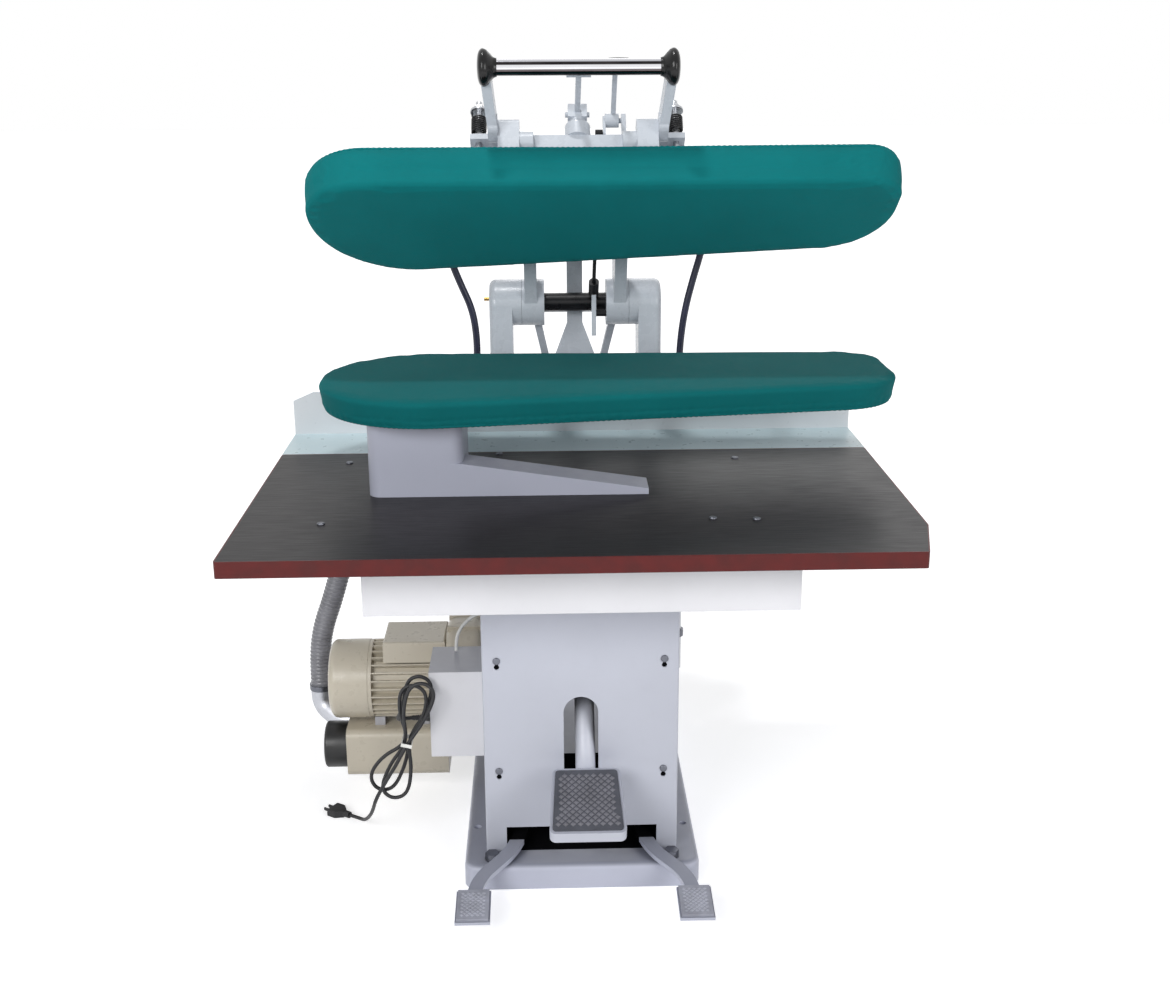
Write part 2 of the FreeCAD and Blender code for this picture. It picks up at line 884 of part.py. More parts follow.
def table_top():
    rounds = [table_round + edge_band] * 5
    top = slab(table_corners(), rounds, edge_band, (table_low, table_z))
    for x, y in table_screw_places:
        top = top.cut(rod((x, y, table_z - screw_length - seat_gap), (x, y, table_z + 1), screw_r + run_fit))
    x, y = neck_port
    return top.cut(rod((x, y, table_low - 1), (x, y, table_z + 1), suction_r + seat_gap))


def table_edge_band():
    rounds = [table_round + edge_band] * 5
    outer = slab(table_corners(), rounds, 0, (table_low, table_z))
    return outer.cut(slab(table_corners(), rounds, edge_band, (table_low - 1, table_z + 1)))


def rear_shelf():
    low = table_z - shelf_sheet
    across = (-table_half, table_half)
    shelf = block(across, (table_back, shelf_back), (low, table_z))
    lip = block(across, (table_back, table_back + shelf_sheet), (low - shelf_lip, table_z))
    splash_top = table_z + splash_height
    splash = block(across, (shelf_back - shelf_sheet, shelf_back), (low, splash_top))
    left = -table_half
    cut = Part.Face(Part.makePolygon([
        Vector(left - 1, shelf_back - shelf_sheet - 1, splash_top - splash_cut_z),
        Vector(left - 1, shelf_back - shelf_sheet - 1, splash_top + 1),
        Vector(left + splash_cut_x, shelf_back - shelf_sheet - 1, splash_top + 1),
        Vector(left - 1, shelf_back - shelf_sheet - 1, splash_top - splash_cut_z)]))
    return fuse([shelf, lip, splash]).cut(cut.extrude(Vector(0, shelf_sheet + 2, 0)))


# Buck

def buck_neck():
    back = neck_front + neck_depth
    corners = [(neck_left, neck_front), (neck_right, neck_front), (neck_right, back), (neck_left, back)]
    body = slab(corners, [neck_round] * 4, 0, (table_z, buck_low))
    tip = neck_right + neck_foot_length
    middle = neck_left + neck_width / 2
    profile = [Vector(middle, neck_front, table_z), Vector(tip, neck_front, table_z),
               Vector(tip, neck_front, table_z + neck_foot_low),
               Vector(neck_right, neck_front, table_z + neck_foot_high),
               Vector(middle, neck_front, table_z + neck_foot_high)]
    foot = Part.Face(Part.makePolygon(profile + profile[:1])).extrude(Vector(0, neck_foot_depth, 0))
    x, y = neck_port
    port = rod((x, y, table_z - 1), (x, y, buck_low + 1), neck_port_r)
    return fuse([body, foot]).cut(port)


def buck_plate():
    inset = buck_drawn_in + pad_wall
    top = buck_top_z - pad_cover - seat_gap
    plate = slab(buck_corners, buck_rounds, inset, (buck_low, top))
    room = slab(buck_corners, buck_rounds, inset + plate_wall, (buck_low + plate_wall, top - plate_wall))
    x, y = neck_port
    port = rod((x, y, buck_low - 1), (x, y, buck_low + plate_wall + 1), neck_port_r)
    return plate.cut(room).cut(port)


def buck_pad():
    top = buck_top_z
    levels = [(buck_low, buck_drawn_in), (buck_low + buck_height / 3, buck_drawn_in / 3),
              (top - buck_belly, 0), (top - buck_crown - 1, buck_shoulder),
              (top - buck_crown / 4, buck_crown_in / 2), (top, buck_crown_in)]
    pad = cushion(buck_corners, buck_rounds, levels)
    inset = buck_drawn_in + pad_wall - seat_gap
    return pad.cut(slab(buck_corners, buck_rounds, inset, (buck_low - 1, buck_top_z - pad_cover)))


# Head

def head_pad():
    levels = [(face_z, head_face_in), (face_z + head_face_round / 3, head_face_in / 3),
              (face_z + head_face_round, 0), (head_back_z - head_face_round, 0), (head_back_z, head_back_in)]
    pad = cushion(head_corners, head_rounds, levels)
    inset = head_skin - seat_gap
    room = slab(head_corners, head_rounds, inset, (chest_low_z - seat_gap, head_back_z + 1))
    return swing(pad.cut(room))


def head_chest():
    return swing(slab(head_corners, head_rounds, head_skin, (chest_low_z, chest_top_z)))


def head_cover():
    inset = head_skin + cover_in
    cover = slab(head_corners, head_rounds, inset, (chest_top_z, cover_top_z))
    rim = [edge for edge in cover.Edges if edge.BoundBox.ZMin > cover_top_z - 0.01]
    cover = cover.makeFillet(cover_in, rim)
    room = slab(head_corners, head_rounds, inset + tray_sheet, (chest_top_z - 1, cover_top_z - tray_sheet))
    return swing(cover.cut(room))


# Pillars, shaft and brace

def pillar(side):
    """Hollow post with a rounded outer edge and a bearing boss that reaches in to the arm."""
    x = side_limits(side, pillar_inner + pillar_boss, pillar_outer)
    boss_x = side_limits(side, pillar_inner, pillar_outer)
    y = around(shaft_y, pillar_depth / 2)
    shape = fuse([block(x, y, (base_height, shaft_z)), disc(boss_x, shaft_y, shaft_z, hub_r)])
    face = gear_x + side * pillar_outer
    rim = [edge for edge in shape.Edges
           if abs(edge.BoundBox.Center.x - face) < 0.1 and edge.BoundBox.ZMax > base_height + 1]
    shape = shape.makeFillet(pillar_round, rim)
    pocket = block((x[0] + pillar_wall, x[1] - pillar_wall), (y[0] + pillar_wall, y[1] + 1),
                   (base_height + pillar_wall, shaft_z - pillar_head))
    bore = disc((boss_x[0] - 1, boss_x[1] + 1), shaft_y, shaft_z, shaft_r + run_fit)
    return shape.cut(pocket).cut(bore)


def main_shaft():
    return disc((gear_x - pillar_outer, gear_x + pillar_outer), shaft_y, shaft_z, shaft_r)


def rear_brace():
    y = (brace_front, brace_back)
    plate = block(around(gear_x, pillar_inner + pillar_boss), y, (brace_low, brace_high))
    post = block(around(gear_x, post_half), y, (brace_high - 1, post_top))
    profile = [Vector(gear_x - gusset_half, brace_front, brace_high - 1),
               Vector(gear_x + gusset_half, brace_front, brace_high - 1),
               Vector(gear_x + gusset_half, brace_front, gusset_low),
               Vector(gear_x + post_half, brace_front, gusset_high),
               Vector(gear_x - post_half, brace_front, gusset_high),
               Vector(gear_x - gusset_half, brace_front, gusset_low)]
    gusset = Part.Face(Part.makePolygon(profile + profile[:1])).extrude(Vector(0, brace_sheet, 0))
    pieces = [plate, post, gusset]
    for side in (-1, 1):
        x = around(gear_x + side * lever_x, anchor_size / 2)
        anchor_y = (brace_back - 1, lever_end_y + anchor_size / 2)
        pieces.append(block(x, anchor_y, (brace_low + anchor_lift, brace_low + anchor_lift + anchor_thick)))
    return fuse(pieces)


def stop_bumper():
    return rod((gear_x, tie_y + tie_r + seat_gap, tie_z), (gear_x, brace_front, tie_z), bumper_r)


# Yoke

def yoke_arm(side):
    x = side_limits(side, arm_inner, arm_outer)
    hub_x = side_limits(side, arm_hub_inner, pillar_inner - arm_hub_gap)
    root = (shaft_y, shaft_z, arm_root_r)
    hub = disc(hub_x, shaft_y, shaft_z, hub_r)
    flange_x = around(gear_x + side * (arm_inner + arm_thick / 2), arm_flange / 2)
    back_z = arm_elbow[1] + arm_elbow[2] + arm_flange_lift
    front_z = arm_tip[1] + arm_tip[2] + arm_flange_lift
    top = [Vector(flange_x[0], arm_flange_back, back_z - arm_flange_thick),
           Vector(flange_x[0], arm_flange_back, back_z),
           Vector(flange_x[0], arm_flange_front, front_z),
           Vector(flange_x[0], arm_flange_front, front_z - arm_flange_thick)]
    flange = Part.Face(Part.makePolygon(top + top[:1])).extrude(Vector(arm_flange, 0, 0))
    bracket = steam_bracket() if side > 0 else []
    beam = swing(fuse([link(root, arm_elbow, x), link(arm_elbow, arm_tip, x), flange] + bracket))
    tie_lug = link(root, (tie_y, tie_z, tie_lug_r), x)
    horn = link(root, (horn_y, horn_z, horn_lug_r), x)
    foot_x = gear_x + side * lever_x
    foot = block(around(foot_x, anchor_size / 2), around(lever_end_y, anchor_size / 2),
                 (lever_end_z - lever_foot, lever_end_z))
    arm = fuse([hub, beam, tie_lug, horn, spring_lever(side, foot_x), foot])
    return arm.cut(disc((hub_x[0] - 1, hub_x[1] + 1), shaft_y, shaft_z, shaft_r + run_fit))


def spring_lever(side, foot_x):
    """Tapered lever from the hub down to the foot that the counterbalance spring pulls."""
    top = Vector(gear_x + side * (arm_inner + lever_thick / 2), shaft_y, shaft_z)
    low = Vector(foot_x, lever_end_y, lever_end_z - lever_foot / 2)
    wires = []
    for middle, deep in ((top, lever_deep), (low, lever_end_deep)):
        corners = [middle + Vector(sx * lever_thick / 2, sy * deep / 2, 0)
                   for sx, sy in ((-1, -1), (1, -1), (1, 1), (-1, 1))]
        wires.append(Part.makePolygon(corners + corners[:1]))
    return Part.makeLoft(wires, True, True)


def yoke_pins():
    x = around(gear_x, arm_inner)
    return [disc(x, tie_y, tie_z, tie_r), disc(x, horn_y, horn_z, horn_pin_r)]


def counter_springs():
    low = brace_low + anchor_lift + anchor_thick
    height = lever_end_z - lever_foot - low
    return [spring((gear_x + side * lever_x, lever_end_y, low), height, spring_r, spring_wire_r,
                   spring_coils, spring_stem, spring_lead, 0, "counter spring") for side in (-1, 1)]


# Head fittings

def head_blocks():
    blocks = []
    for side in (-1, 1):
        x = side_limits(side, arm_outer, block_outer)
        body = block(x, (block_front, block_front + block_depth), (cover_top_z, block_top))
        upper = [edge for edge in body.Edges
                 if edge.BoundBox.ZMin > block_top - 0.01 and edge.BoundBox.XLength > 1]
        body = body.makeFillet(block_round, upper)
        arm_x = side_limits(side, block_outer - 1, outrigger_x + outrigger_half)
        y = (outrigger_back - outrigger_depth, outrigger_back)
        arm = block(arm_x, y, (outrigger_z, outrigger_z + outrigger_thick))
        middle_y = outrigger_back - outrigger_depth / 2
        x_rod = gear_x + side * outrigger_x
        hole = rod((x_rod, middle_y, outrigger_z - 1), (x_rod, middle_y, outrigger_z + outrigger_thick + 1),
                   level_rod_r + seat_gap)
        blocks.append(swing(fuse([body, arm]).cut(hole)))
    return blocks


def crossbar():
    y = (crossbar_front, crossbar_front + crossbar_depth)
    middle_y = crossbar_front + crossbar_depth / 2
    bar = block(around(gear_x, arm_inner), y, (crossbar_low, crossbar_high))
    lug = block(around(gear_x, head_lug_half), y, (cover_top_z, crossbar_low))
    return [swing(fuse([bar, lug])), swing(centre_clevis(middle_y))]


def centre_clevis(middle_y):
    """Swivel on the crossbar that carries the handle's strut."""
    low = crossbar_high
    neck_low = low + clevis_height
    top_low = neck_low + clevis_neck
    body = rod((gear_x, middle_y, low), (gear_x, middle_y, neck_low), clevis_r)
    rim = [edge for edge in body.Edges if edge.BoundBox.ZMin > neck_low - 0.01]
    body = body.makeFillet(clevis_neck, rim)
    neck = rod((gear_x, middle_y, neck_low - 1), (gear_x, middle_y, top_low + 1), clevis_neck_r)
    wide, deep, high = clevis_top
    head = block(around(gear_x, wide / 2), around(middle_y, deep / 2), (top_low, top_low + high))
    bolt_z = top_low + high / 2
    bolt_reach = wide / 2 + clevis_bolt_r
    bolt = disc(around(gear_x, bolt_reach), middle_y, bolt_z, clevis_bolt_r)
    return fuse([body, neck, head, bolt])


def levelling_rods():
    rods = []
    y = outrigger_back - outrigger_depth / 2
    for side in (-1, 1):
        x = gear_x + side * outrigger_x
        foot_top = cover_top_z + level_foot_height
        spindle = rod((x, y, foot_top - level_rod_r), (x, y, level_rod_top), level_rod_r)
        foot = block(around(x, level_foot / 2), around(y, level_foot / 2), (cover_top_z, foot_top))
        pin = disc(around(x, level_foot / 2 + level_rod_r), y, foot_top - level_foot_height / 2, level_rod_r)
        nut_low = outrigger_z + outrigger_thick + level_spring_height
        nut = hexagon((x, y, nut_low), level_nut_flats + 2 * level_spring_wire_r, level_nut / 3)
        lock = hexagon((x, y, nut_low + level_nut / 3), level_nut_flats, level_nut * 2 / 3)
        rods.append(swing(fuse([spindle, foot, pin, washer_disc(x, y, nut_low), nut, lock])))
    return rods


def washer_disc(x, y, z):
    """Cap under the nut, wide enough for the spring's end."""
    reach = level_spring_r + 2 * level_spring_wire_r
    return rod((x, y, z), (x, y, z + level_nut / 3), reach)


def levelling_springs():
    y = outrigger_back - outrigger_depth / 2
    low = outrigger_z + outrigger_thick
    stem = 2 * level_spring_wire_r
    return [swing(spring((gear_x + side * outrigger_x, y, low), level_spring_height, level_spring_r,
                         level_spring_wire_r, level_spring_coils, stem, level_spring_lead, level_spring_r,
                         "levelling spring"))
            for side in (-1, 1)]


def handle_arms():
    arms = []
    for side in (-1, 1):
        x = side_limits(side, block_outer, block_outer + handle_arm_thick)
        arm = fuse([link(handle_arm_root, handle_arm_foot, x), leaning_arm(side, 0)])
        bar = disc(around(gear_x, knob_root + knob_length), handle_y, handle_z, handle_r + run_fit)
        arms.append(swing(arm.cut(bar)))
    arms.append(swing(handle_strut()))
    return arms


def leaning_arm(side, gap):
    """Flat bar that leans outward from the block to the handle's end, grown by a gap all round."""
    foot_x = gear_x + side * (block_outer + handle_arm_thick / 2)
    foot = Vector(foot_x, handle_arm_foot[0], handle_arm_foot[1])
    along = unit(Vector(0, handle_y - foot.y, handle_z - foot.z))
    across = Vector(0, -along.z, along.y)
    tip = Vector(foot.x + side * handle_arm_lean, handle_y, handle_z) + along * (handle_tip_past + gap)
    wires = []
    thick = handle_arm_thick / 2 + gap
    for middle, deep in ((foot, handle_arm_deep), (tip, handle_tip_deep)):
        corners = [middle + Vector(sx * thick, 0, 0) + across * (sy * (deep / 2 + gap))
                   for sx, sy in ((-1, -1), (1, -1), (1, 1), (-1, 1))]
        wires.append(Part.makePolygon(corners + corners[:1]))
    return Part.makeLoft(wires, True, True)


def handle_strut():
    """Flat strut from the swivel to a saddle behind the middle of the handle bar."""
    wide, deep, high = clevis_top
    root_y = crossbar_front + crossbar_depth / 2 - deep / 2
    root_z = crossbar_high + clevis_height + clevis_neck + high / 2
    back = handle_y + handle_r + saddle_thick
    middle = back - saddle_thick / 2
    saddle = block(around(gear_x, saddle_half), (handle_y + handle_r * saddle_wrap, back),
                   around(handle_z, saddle_depth / 2))
    profile = [Vector(gear_x - strut_half, root_y, root_z - strut_thick),
               Vector(gear_x - strut_half, root_y, root_z + strut_thick),
               Vector(gear_x - strut_half, middle, handle_z + strut_thick),
               Vector(gear_x - strut_half, middle, handle_z - strut_thick)]
    strut = Part.Face(Part.makePolygon(profile + profile[:1])).extrude(Vector(2 * strut_half, 0, 0))
    bolts = []
    for side in (-1, 1):
        x = gear_x + side * (saddle_half - saddle_bolt_r * 2)
        bolts.append(rod((x, middle, handle_z), (x, back + saddle_bolt_r, handle_z), saddle_bolt_r))
    bar = disc(around(gear_x, saddle_half + 1), handle_y, handle_z, handle_r + run_fit)
    return fuse([saddle, strut] + bolts).cut(bar)


def handle_bar():
    return swing(disc(around(gear_x, knob_root + knob_length * knob_grip), handle_y, handle_z, handle_r))


def handle_knobs():
    knobs = []
    for side in (-1, 1):
        root = gear_x + side * knob_root
        profile = [Vector(along * knob_length, out * knob_r, 0) for along, out in knob_shape]
        face = Part.Face(Part.makePolygon(profile + profile[:1]))
        knob = face.revolve(Vector(0, 0, 0), Vector(1, 0, 0), 360)
        knob.rotate(Vector(0, 0, 0), Vector(0, 0, 1), 0 if side > 0 else 180)
        knob.translate(Vector(root, handle_y, handle_z))
        x = side_limits(side, knob_root - 1, knob_root + knob_length * knob_grip + run_fit)
        knob = knob.cut(disc(x, handle_y, handle_z, handle_r + run_fit))
        knobs.append(swing(knob.cut(leaning_arm(side, seat_gap))))
    return knobs


# Steam lever, its rod, the valve and the steam lines

def steam_lever():
    hub = disc(steam_hub, steam_pivot_y, steam_pivot_z, steam_hub_r)
    half = steam_blade_thick / 2
    root = (steam_pivot_y, steam_pivot_z + steam_hub_r - half, half)
    bend = (steam_bend[0], steam_bend[1], half)
    tip = (steam_tip[0], steam_tip[1], half)
    grip = disc(steam_grip, steam_tip[0], steam_tip[1], steam_grip_r)
    crank_x = (steam_hub[0] - steam_crank_thick, steam_hub[0] + 1)
    crank = link((steam_pivot_y, steam_pivot_z, steam_hub_r * 0.7),
                 (steam_pivot_y, steam_pivot_z - steam_crank, steam_hub_r * 0.5), crank_x)
    pin_x = (steam_rod_x - steam_clevis_r, steam_hub[0])
    pin = disc(pin_x, steam_pivot_y, steam_pivot_z - steam_crank, steam_pin_r)
    lever = fuse([hub, link(root, bend, steam_blade), link(bend, tip, steam_blade), grip, crank, pin])
    return swing(lever.cut(disc((steam_hub[0] - 9, steam_hub[1] + 9), steam_pivot_y, steam_pivot_z,
                                steam_pivot_r + run_fit)))


def steam_bracket():
    """Lug on top of the right arm, with the pin that the steam lever turns on."""
    x = (gear_x + arm_inner, gear_x + arm_inner + steam_bracket_thick)
    arm_top = arm_tip[1] + arm_tip[2]
    plate = link((steam_pivot_y, steam_pivot_z, steam_hub_r), (steam_pivot_y, arm_top, steam_hub_r), x)
    pin = disc((steam_hub[0] - steam_crank_thick, x[1]), steam_pivot_y, steam_pivot_z, steam_pivot_r)
    return [plate, pin]


def steam_rod_ends():
    top = Vector(steam_rod_x, steam_pivot_y, steam_pivot_z - steam_crank)
    low = Vector(steam_rod_x, valve_y, valve_z)
    return top, low


def steam_rod():
    top, low = steam_rod_ends()
    along = unit(low - top)
    clevis_x = (steam_rod_x - steam_clevis_r, steam_rod_x + steam_clevis_r)
    eye = disc(clevis_x, top.y, top.z, steam_clevis_r)
    clevis = rod(top, top + along * steam_clevis_length, steam_clevis_r)
    shank = rod(top, low, steam_rod_r)
    pin_hole = disc((clevis_x[0] - 1, clevis_x[1] + 1), top.y, top.z, steam_pin_r + 2 * seat_gap)
    return swing(fuse([eye, clevis, shank]).cut(pin_hole))


def steam_valve():
    """Valve at the foot of the rod, on a flat bar carried by the right hub."""
    top, low = steam_rod_ends()
    along = unit(low - top)
    start = low - along * valve_length * 0.6
    end = low + along * valve_length * 0.4
    bore = rod(start - along, low + along * valve_length * 0.2, steam_rod_r + seat_gap)
    middle = swing_point(low)
    inner = gear_x + arm_hub_inner
    bar = block(around(steam_rod_x, valve_bar_thick / 2), around(middle.y, valve_bar / 2),
                (middle.z - valve_bar_drop, middle.z - valve_r / 2))
    stay = disc((steam_rod_x, inner), middle.y, shaft_z - shaft_r, valve_bar / 2)
    return fuse([swing(rod(start, end, valve_r)), bar, stay]).cut(swing(bore))


def valve_strip():
    """White flat strip on the front of the bar below the valve."""
    middle = swing_point(steam_rod_ends()[1])
    front = middle.y - valve_bar / 2
    return block(around(steam_rod_x, valve_strip_width / 2), (front - valve_strip_thick, front),
                 (middle.z - valve_bar_drop, middle.z - valve_r))


def head_fittings():
    ports = []
    for x, y in head_port:
        nipple = rod((x, y, cover_top_z), (x, y, cover_top_z + head_port_height), head_port_r)
        nut = hexagon((x, y, cover_top_z), 2 * head_port_r + 5, head_port_height / 3)
        ports.append(swing(fuse([nipple, nut])))
    return ports + [steam_valve()]


def port_end(place):
    """Where a hose starts on the open head, and the heading in which it leaves."""
    point = swing_point(Vector(place[0], place[1], cover_top_z + head_port_height))
    lean = math.radians(open_angle)
    return point, Vector(0, math.sin(lean), math.cos(lean))


def steam_hoses():
    hoses = []
    sides = ((head_port[0], left_hose_bends, left_pipe_x), (head_port[1], right_hose_bends, right_pipe_x))
    for place, bends, x in sides:
        start, heading = port_end(place)
        points = [start, start + heading * hose_start] + bends + [(x, pipe_y, pipe_high + hose_nut)]
        hoses.append(tube(route(points, "steam hose"), hose_r, "steam hose"))
    return hoses


def steam_pipes():
    pipes = []
    for x in (left_pipe_x, right_pipe_x):
        upright = rod((x, pipe_y, pipe_low), (x, pipe_y, pipe_high), pipe_r)
        stub = rod((x, pipe_y, pipe_stub_z), (x, pipe_stub_y, pipe_stub_z), pipe_r - pipe_thread)
        bore_low = pipe_low + pipe_r - pipe_bore_r
        pipe = fuse([upright, stub]).cut(rod((x, pipe_y, bore_low), (x, pipe_y, pipe_high + 1), pipe_bore_r))
        stub_bore = rod((x, pipe_y, pipe_stub_z), (x, pipe_stub_y + 1, pipe_stub_z), pipe_stub_bore_r)
        pipes.append(pipe.cut(stub_bore))
    return pipes


def pipe_clamps():
    """Saddles that hold the two pipes to the outer faces of the pillars."""
    clamps = []
    reach = pipe_r + pipe_clamp_wall
    sides = ((left_pipe_x, gear_x - pillar_outer, 1), (right_pipe_x, gear_x + pillar_outer, -1))
    for x, face, side in sides:
        for low in pipe_clamp_z:
            z = (low, low + pipe_clamp_height)
            ring = rod((x, pipe_y, z[0]), (x, pipe_y, z[1]), reach)
            pad = block(tuple(sorted((x, face))), (pipe_y, pipe_y + reach), z)
            ear = block(tuple(sorted((face, face - side * pipe_clamp_wall))), (pipe_y, shaft_y), z)
            inside = rod((x, pipe_y, z[0] - 1), (x, pipe_y, z[1] + 1), pipe_r + run_fit)
            clamps.append(fuse([ring, pad, ear]).cut(inside))
    return clamps


def brass_fittings():
    pieces = []
    for x in (left_pipe_x, right_pipe_x):
        pieces.append(hexagon((x, pipe_y, pipe_high), hose_nut_flats, hose_nut))
    face = gear_x - pillar_outer
    pieces.append(disc((face - nipple_length, face), shaft_y, shaft_z + nipple_lift, nipple_r))
    for side in (-1, 1):
        pieces.append(foot_valve(side))
    return pieces


# Main pedal

def pedal_tilt():
    rise = pedal_rear[1] - pedal_front[1]
    run = pedal_rear[0] - pedal_front[0]
    return math.degrees(math.atan2(rise, run)), math.hypot(rise, run)


def place_on_pedal(shape):
    """Piece drawn level about the middle of the pedal's top, set at the pedal's slope."""
    tilt, length = pedal_tilt()
    shape.rotate(Vector(0, 0, 0), Vector(1, 0, 0), tilt)
    middle_y = (pedal_front[0] + pedal_rear[0]) / 2
    middle_z = (pedal_front[1] + pedal_rear[1]) / 2
    shape.translate(Vector(gear_x, middle_y, middle_z))
    return shape


def pedal_plan(inset, z):
    tilt, length = pedal_tilt()
    front = pedal_front_width / 2
    rear = pedal_rear_width / 2
    corners = [(-front, -length / 2), (front, -length / 2), (rear, length / 2), (-rear, length / 2)]
    return slab(corners, [pedal_corner] * 4, inset, z)


def pedal_tray_plate():
    tray = pedal_plan(0, (-pedal_tray - pedal_rubber, -pedal_rubber / 3))
    return place_on_pedal(tray.cut(pedal_plan(pedal_rim - seat_gap, (-pedal_rubber, 1))))


def pedal_rubber_pad():
    return place_on_pedal(pedal_plan(pedal_rim, (-pedal_rubber, 0)))


def pedal_lever():
    pivot = (pedal_pivot_y, pedal_pivot_z)
    points = [(gear_x, pivot[0], pivot[1])] + [(gear_x, y, z) for y, z in pedal_bends]
    bar = tube(route(points, "pedal bar"), pedal_bar_r, "pedal bar")
    low = -pedal_tray - pedal_rubber
    seat = place_on_pedal(block(around(0, pedal_seat_half), (pedal_seat_front, pedal_seat_back),
                                (low - pedal_seat_deep, low)))
    hub = disc(around(gear_x, pedal_hub_half), pivot[0], pivot[1], pedal_hub_r)
    start = Vector(0, pivot[0], pivot[1])
    reach = unit(Vector(0, rear_pin_y, rear_pin_z) - start)
    near = start + reach * (pedal_rear_radius - rod_eye_r - rear_arm_tip_r - fork_throat)
    far = start + reach * (pedal_rear_radius - fork_length)
    arm = link((start.y, start.z, rear_arm_root_r), (near.y, near.z, rear_arm_tip_r),
               around(gear_x, rear_arm_half))
    pieces = [bar, seat, hub, arm]
    gap = rod_eye_half + fork_gap
    for side in (-1, 1):
        x = tuple(sorted((gear_x + side * gap, gear_x + side * fork_half)))
        pieces.append(link((far.y, far.z, rear_arm_tip_r), (rear_pin_y, rear_pin_z, rear_arm_tip_r), x))
    pieces.append(link((far.y, far.z, rear_arm_tip_r - 1), (near.y, near.z, rear_arm_tip_r - 1),
                       around(gear_x, fork_half)))
    pieces.append(disc(around(gear_x, fork_half), rear_pin_y, rear_pin_z, rod_pin_r))
    lever = fuse(pieces)
    return lever.cut(disc(around(gear_x, pedal_hub_half + 1), pivot[0], pivot[1], pedal_pin_r + run_fit))


def push_rod():
    x = around(gear_x, rod_eye_half)
    low = Vector(gear_x, rear_pin_y, rear_pin_z)
    top = Vector(gear_x, horn_y + rod_lean, horn_z)
    along = unit(top - low)
    eyes = [disc(x, low.y, low.z, rod_eye_r), disc(x, top.y, top.z, rod_eye_r)]
    inset = rod_pin_r + rod_r / 2
    shank = rod(low + along * inset, top - along * inset, rod_r - run_fit)
    shape = fuse(eyes + [shank])
    shape = shape.cut(disc((x[0] - 1, x[1] + 1), low.y, low.z, rod_pin_r + run_fit))
    return shape.cut(disc((x[0] - 1, x[1] + 1), top.y, top.z, horn_pin_r + rod_open_play))


def pedal_shafts():
    main = disc((-frame_half, frame_half), pedal_pivot_y, pedal_pivot_z, pedal_pin_r)
    small = disc((-frame_half, frame_half), small_pivot_y, small_pivot_z, small_shaft_r)
    return [main, small]


# Small pedals

def tilt_small(shape):
    shape.rotate(Vector(0, small_pivot_y, small_pivot_z), Vector(1, 0, 0), small_tilt)
    return shape


def small_lever(side):
    x = side * small_lever_x
    pad_x = side * small_pad_x
    z = small_pivot_z
    points = [(x, small_lever_back, z), (x, small_bend_start, z), (pad_x, small_bend_end, z),
              (pad_x, small_pad_y - small_pad_length / 4, z)]
    edges = route(points, "small lever")
    half = small_lever_width / 2
    thick = small_lever_thick / 2
    ring = [Vector(x - half, small_lever_back, z - thick), Vector(x + half, small_lever_back, z - thick),
            Vector(x + half, small_lever_back, z + thick), Vector(x - half, small_lever_back, z + thick)]
    bar = Part.Wire(edges).makePipeShell([Part.makePolygon(ring + ring[:1])], True, False)
    hub = disc(around(x, small_hub_half), small_pivot_y, z, small_hub_r)
    tray = block(around(pad_x, small_pad_width / 2), around(small_pad_y, small_pad_length / 2),
                 (z + thick, z + thick + small_pad_tray))
    striker = rod((x, striker_y, z), (x, striker_y, z + thick + striker_height), striker_r)
    lever = fuse([bar, hub, tray, striker])
    lever = lever.cut(disc(around(x, small_hub_half + 1), small_pivot_y, z, small_shaft_r + run_fit))
    return tilt_small(lever)


def small_pad(side):
    pad_x = side * small_pad_x
    low = small_pivot_z + small_lever_thick / 2 + small_pad_tray
    half_x = small_pad_width / 2 - small_pad_rim
    half_y = small_pad_length / 2 - small_pad_rim
    pad = block(around(pad_x, half_x), around(small_pad_y, half_y), (low, low + small_pad_rubber))
    return tilt_small(pad)


def foot_valve(side):
    x = side * small_lever_x
    top = foot_valve_low + foot_valve_height
    body = rod((x, striker_y, foot_valve_low), (x, striker_y, top), foot_valve_r)
    arm_x = tuple(sorted((x, side * frame_inside)))
    arm_z = top - foot_valve_arm
    arm = block(arm_x, around(striker_y, foot_valve_arm / 2), (arm_z, top))
    bore = rod((x, striker_y, foot_valve_low - 1), (x, striker_y, arm_z), striker_r + foot_valve_play)
    return fuse([body, arm]).cut(bore)


# Electrical box

def electrical_box():
    shell = block((ebox_left, -frame_half), (ebox_front + ebox_sheet, ebox_back), (ebox_low, ebox_top))
    room = block((ebox_left + ebox_sheet, -frame_half - ebox_sheet), (ebox_front, ebox_back - ebox_sheet),
                 (ebox_low + ebox_sheet, ebox_top - ebox_sheet))
    return shell.cut(room)


def box_lid():
    lid = block((ebox_left, -frame_half), (ebox_front, ebox_front + ebox_sheet), (ebox_low, ebox_top))
    inset = ebox_sheet + seat_gap
    rim = block((ebox_left + inset, -frame_half - inset), (ebox_front + 1, ebox_front + ebox_lid_return),
                (ebox_low + inset, ebox_top - inset))
    inner = inset + ebox_sheet
    room_y = (ebox_front, ebox_front + ebox_lid_return + 1)
    rim = rim.cut(block((ebox_left + inner, -frame_half - inner), room_y,
                        (ebox_low + inner, ebox_top - inner)))
    return fuse([lid, rim])


def contactor():
    wide, deep, high = contactor_size
    middle_x = (ebox_left - frame_half) / 2
    middle_z = (ebox_low + ebox_top) / 2
    back = ebox_back - ebox_sheet
    body = block(around(middle_x, wide / 2), (back - deep, back), around(middle_z, high / 2))
    nose_y = (back - deep * 4 / 3, back - deep + 1)
    nose = block(around(middle_x, wide / 3), nose_y, around(middle_z, high / 4))
    return fuse([body, nose])


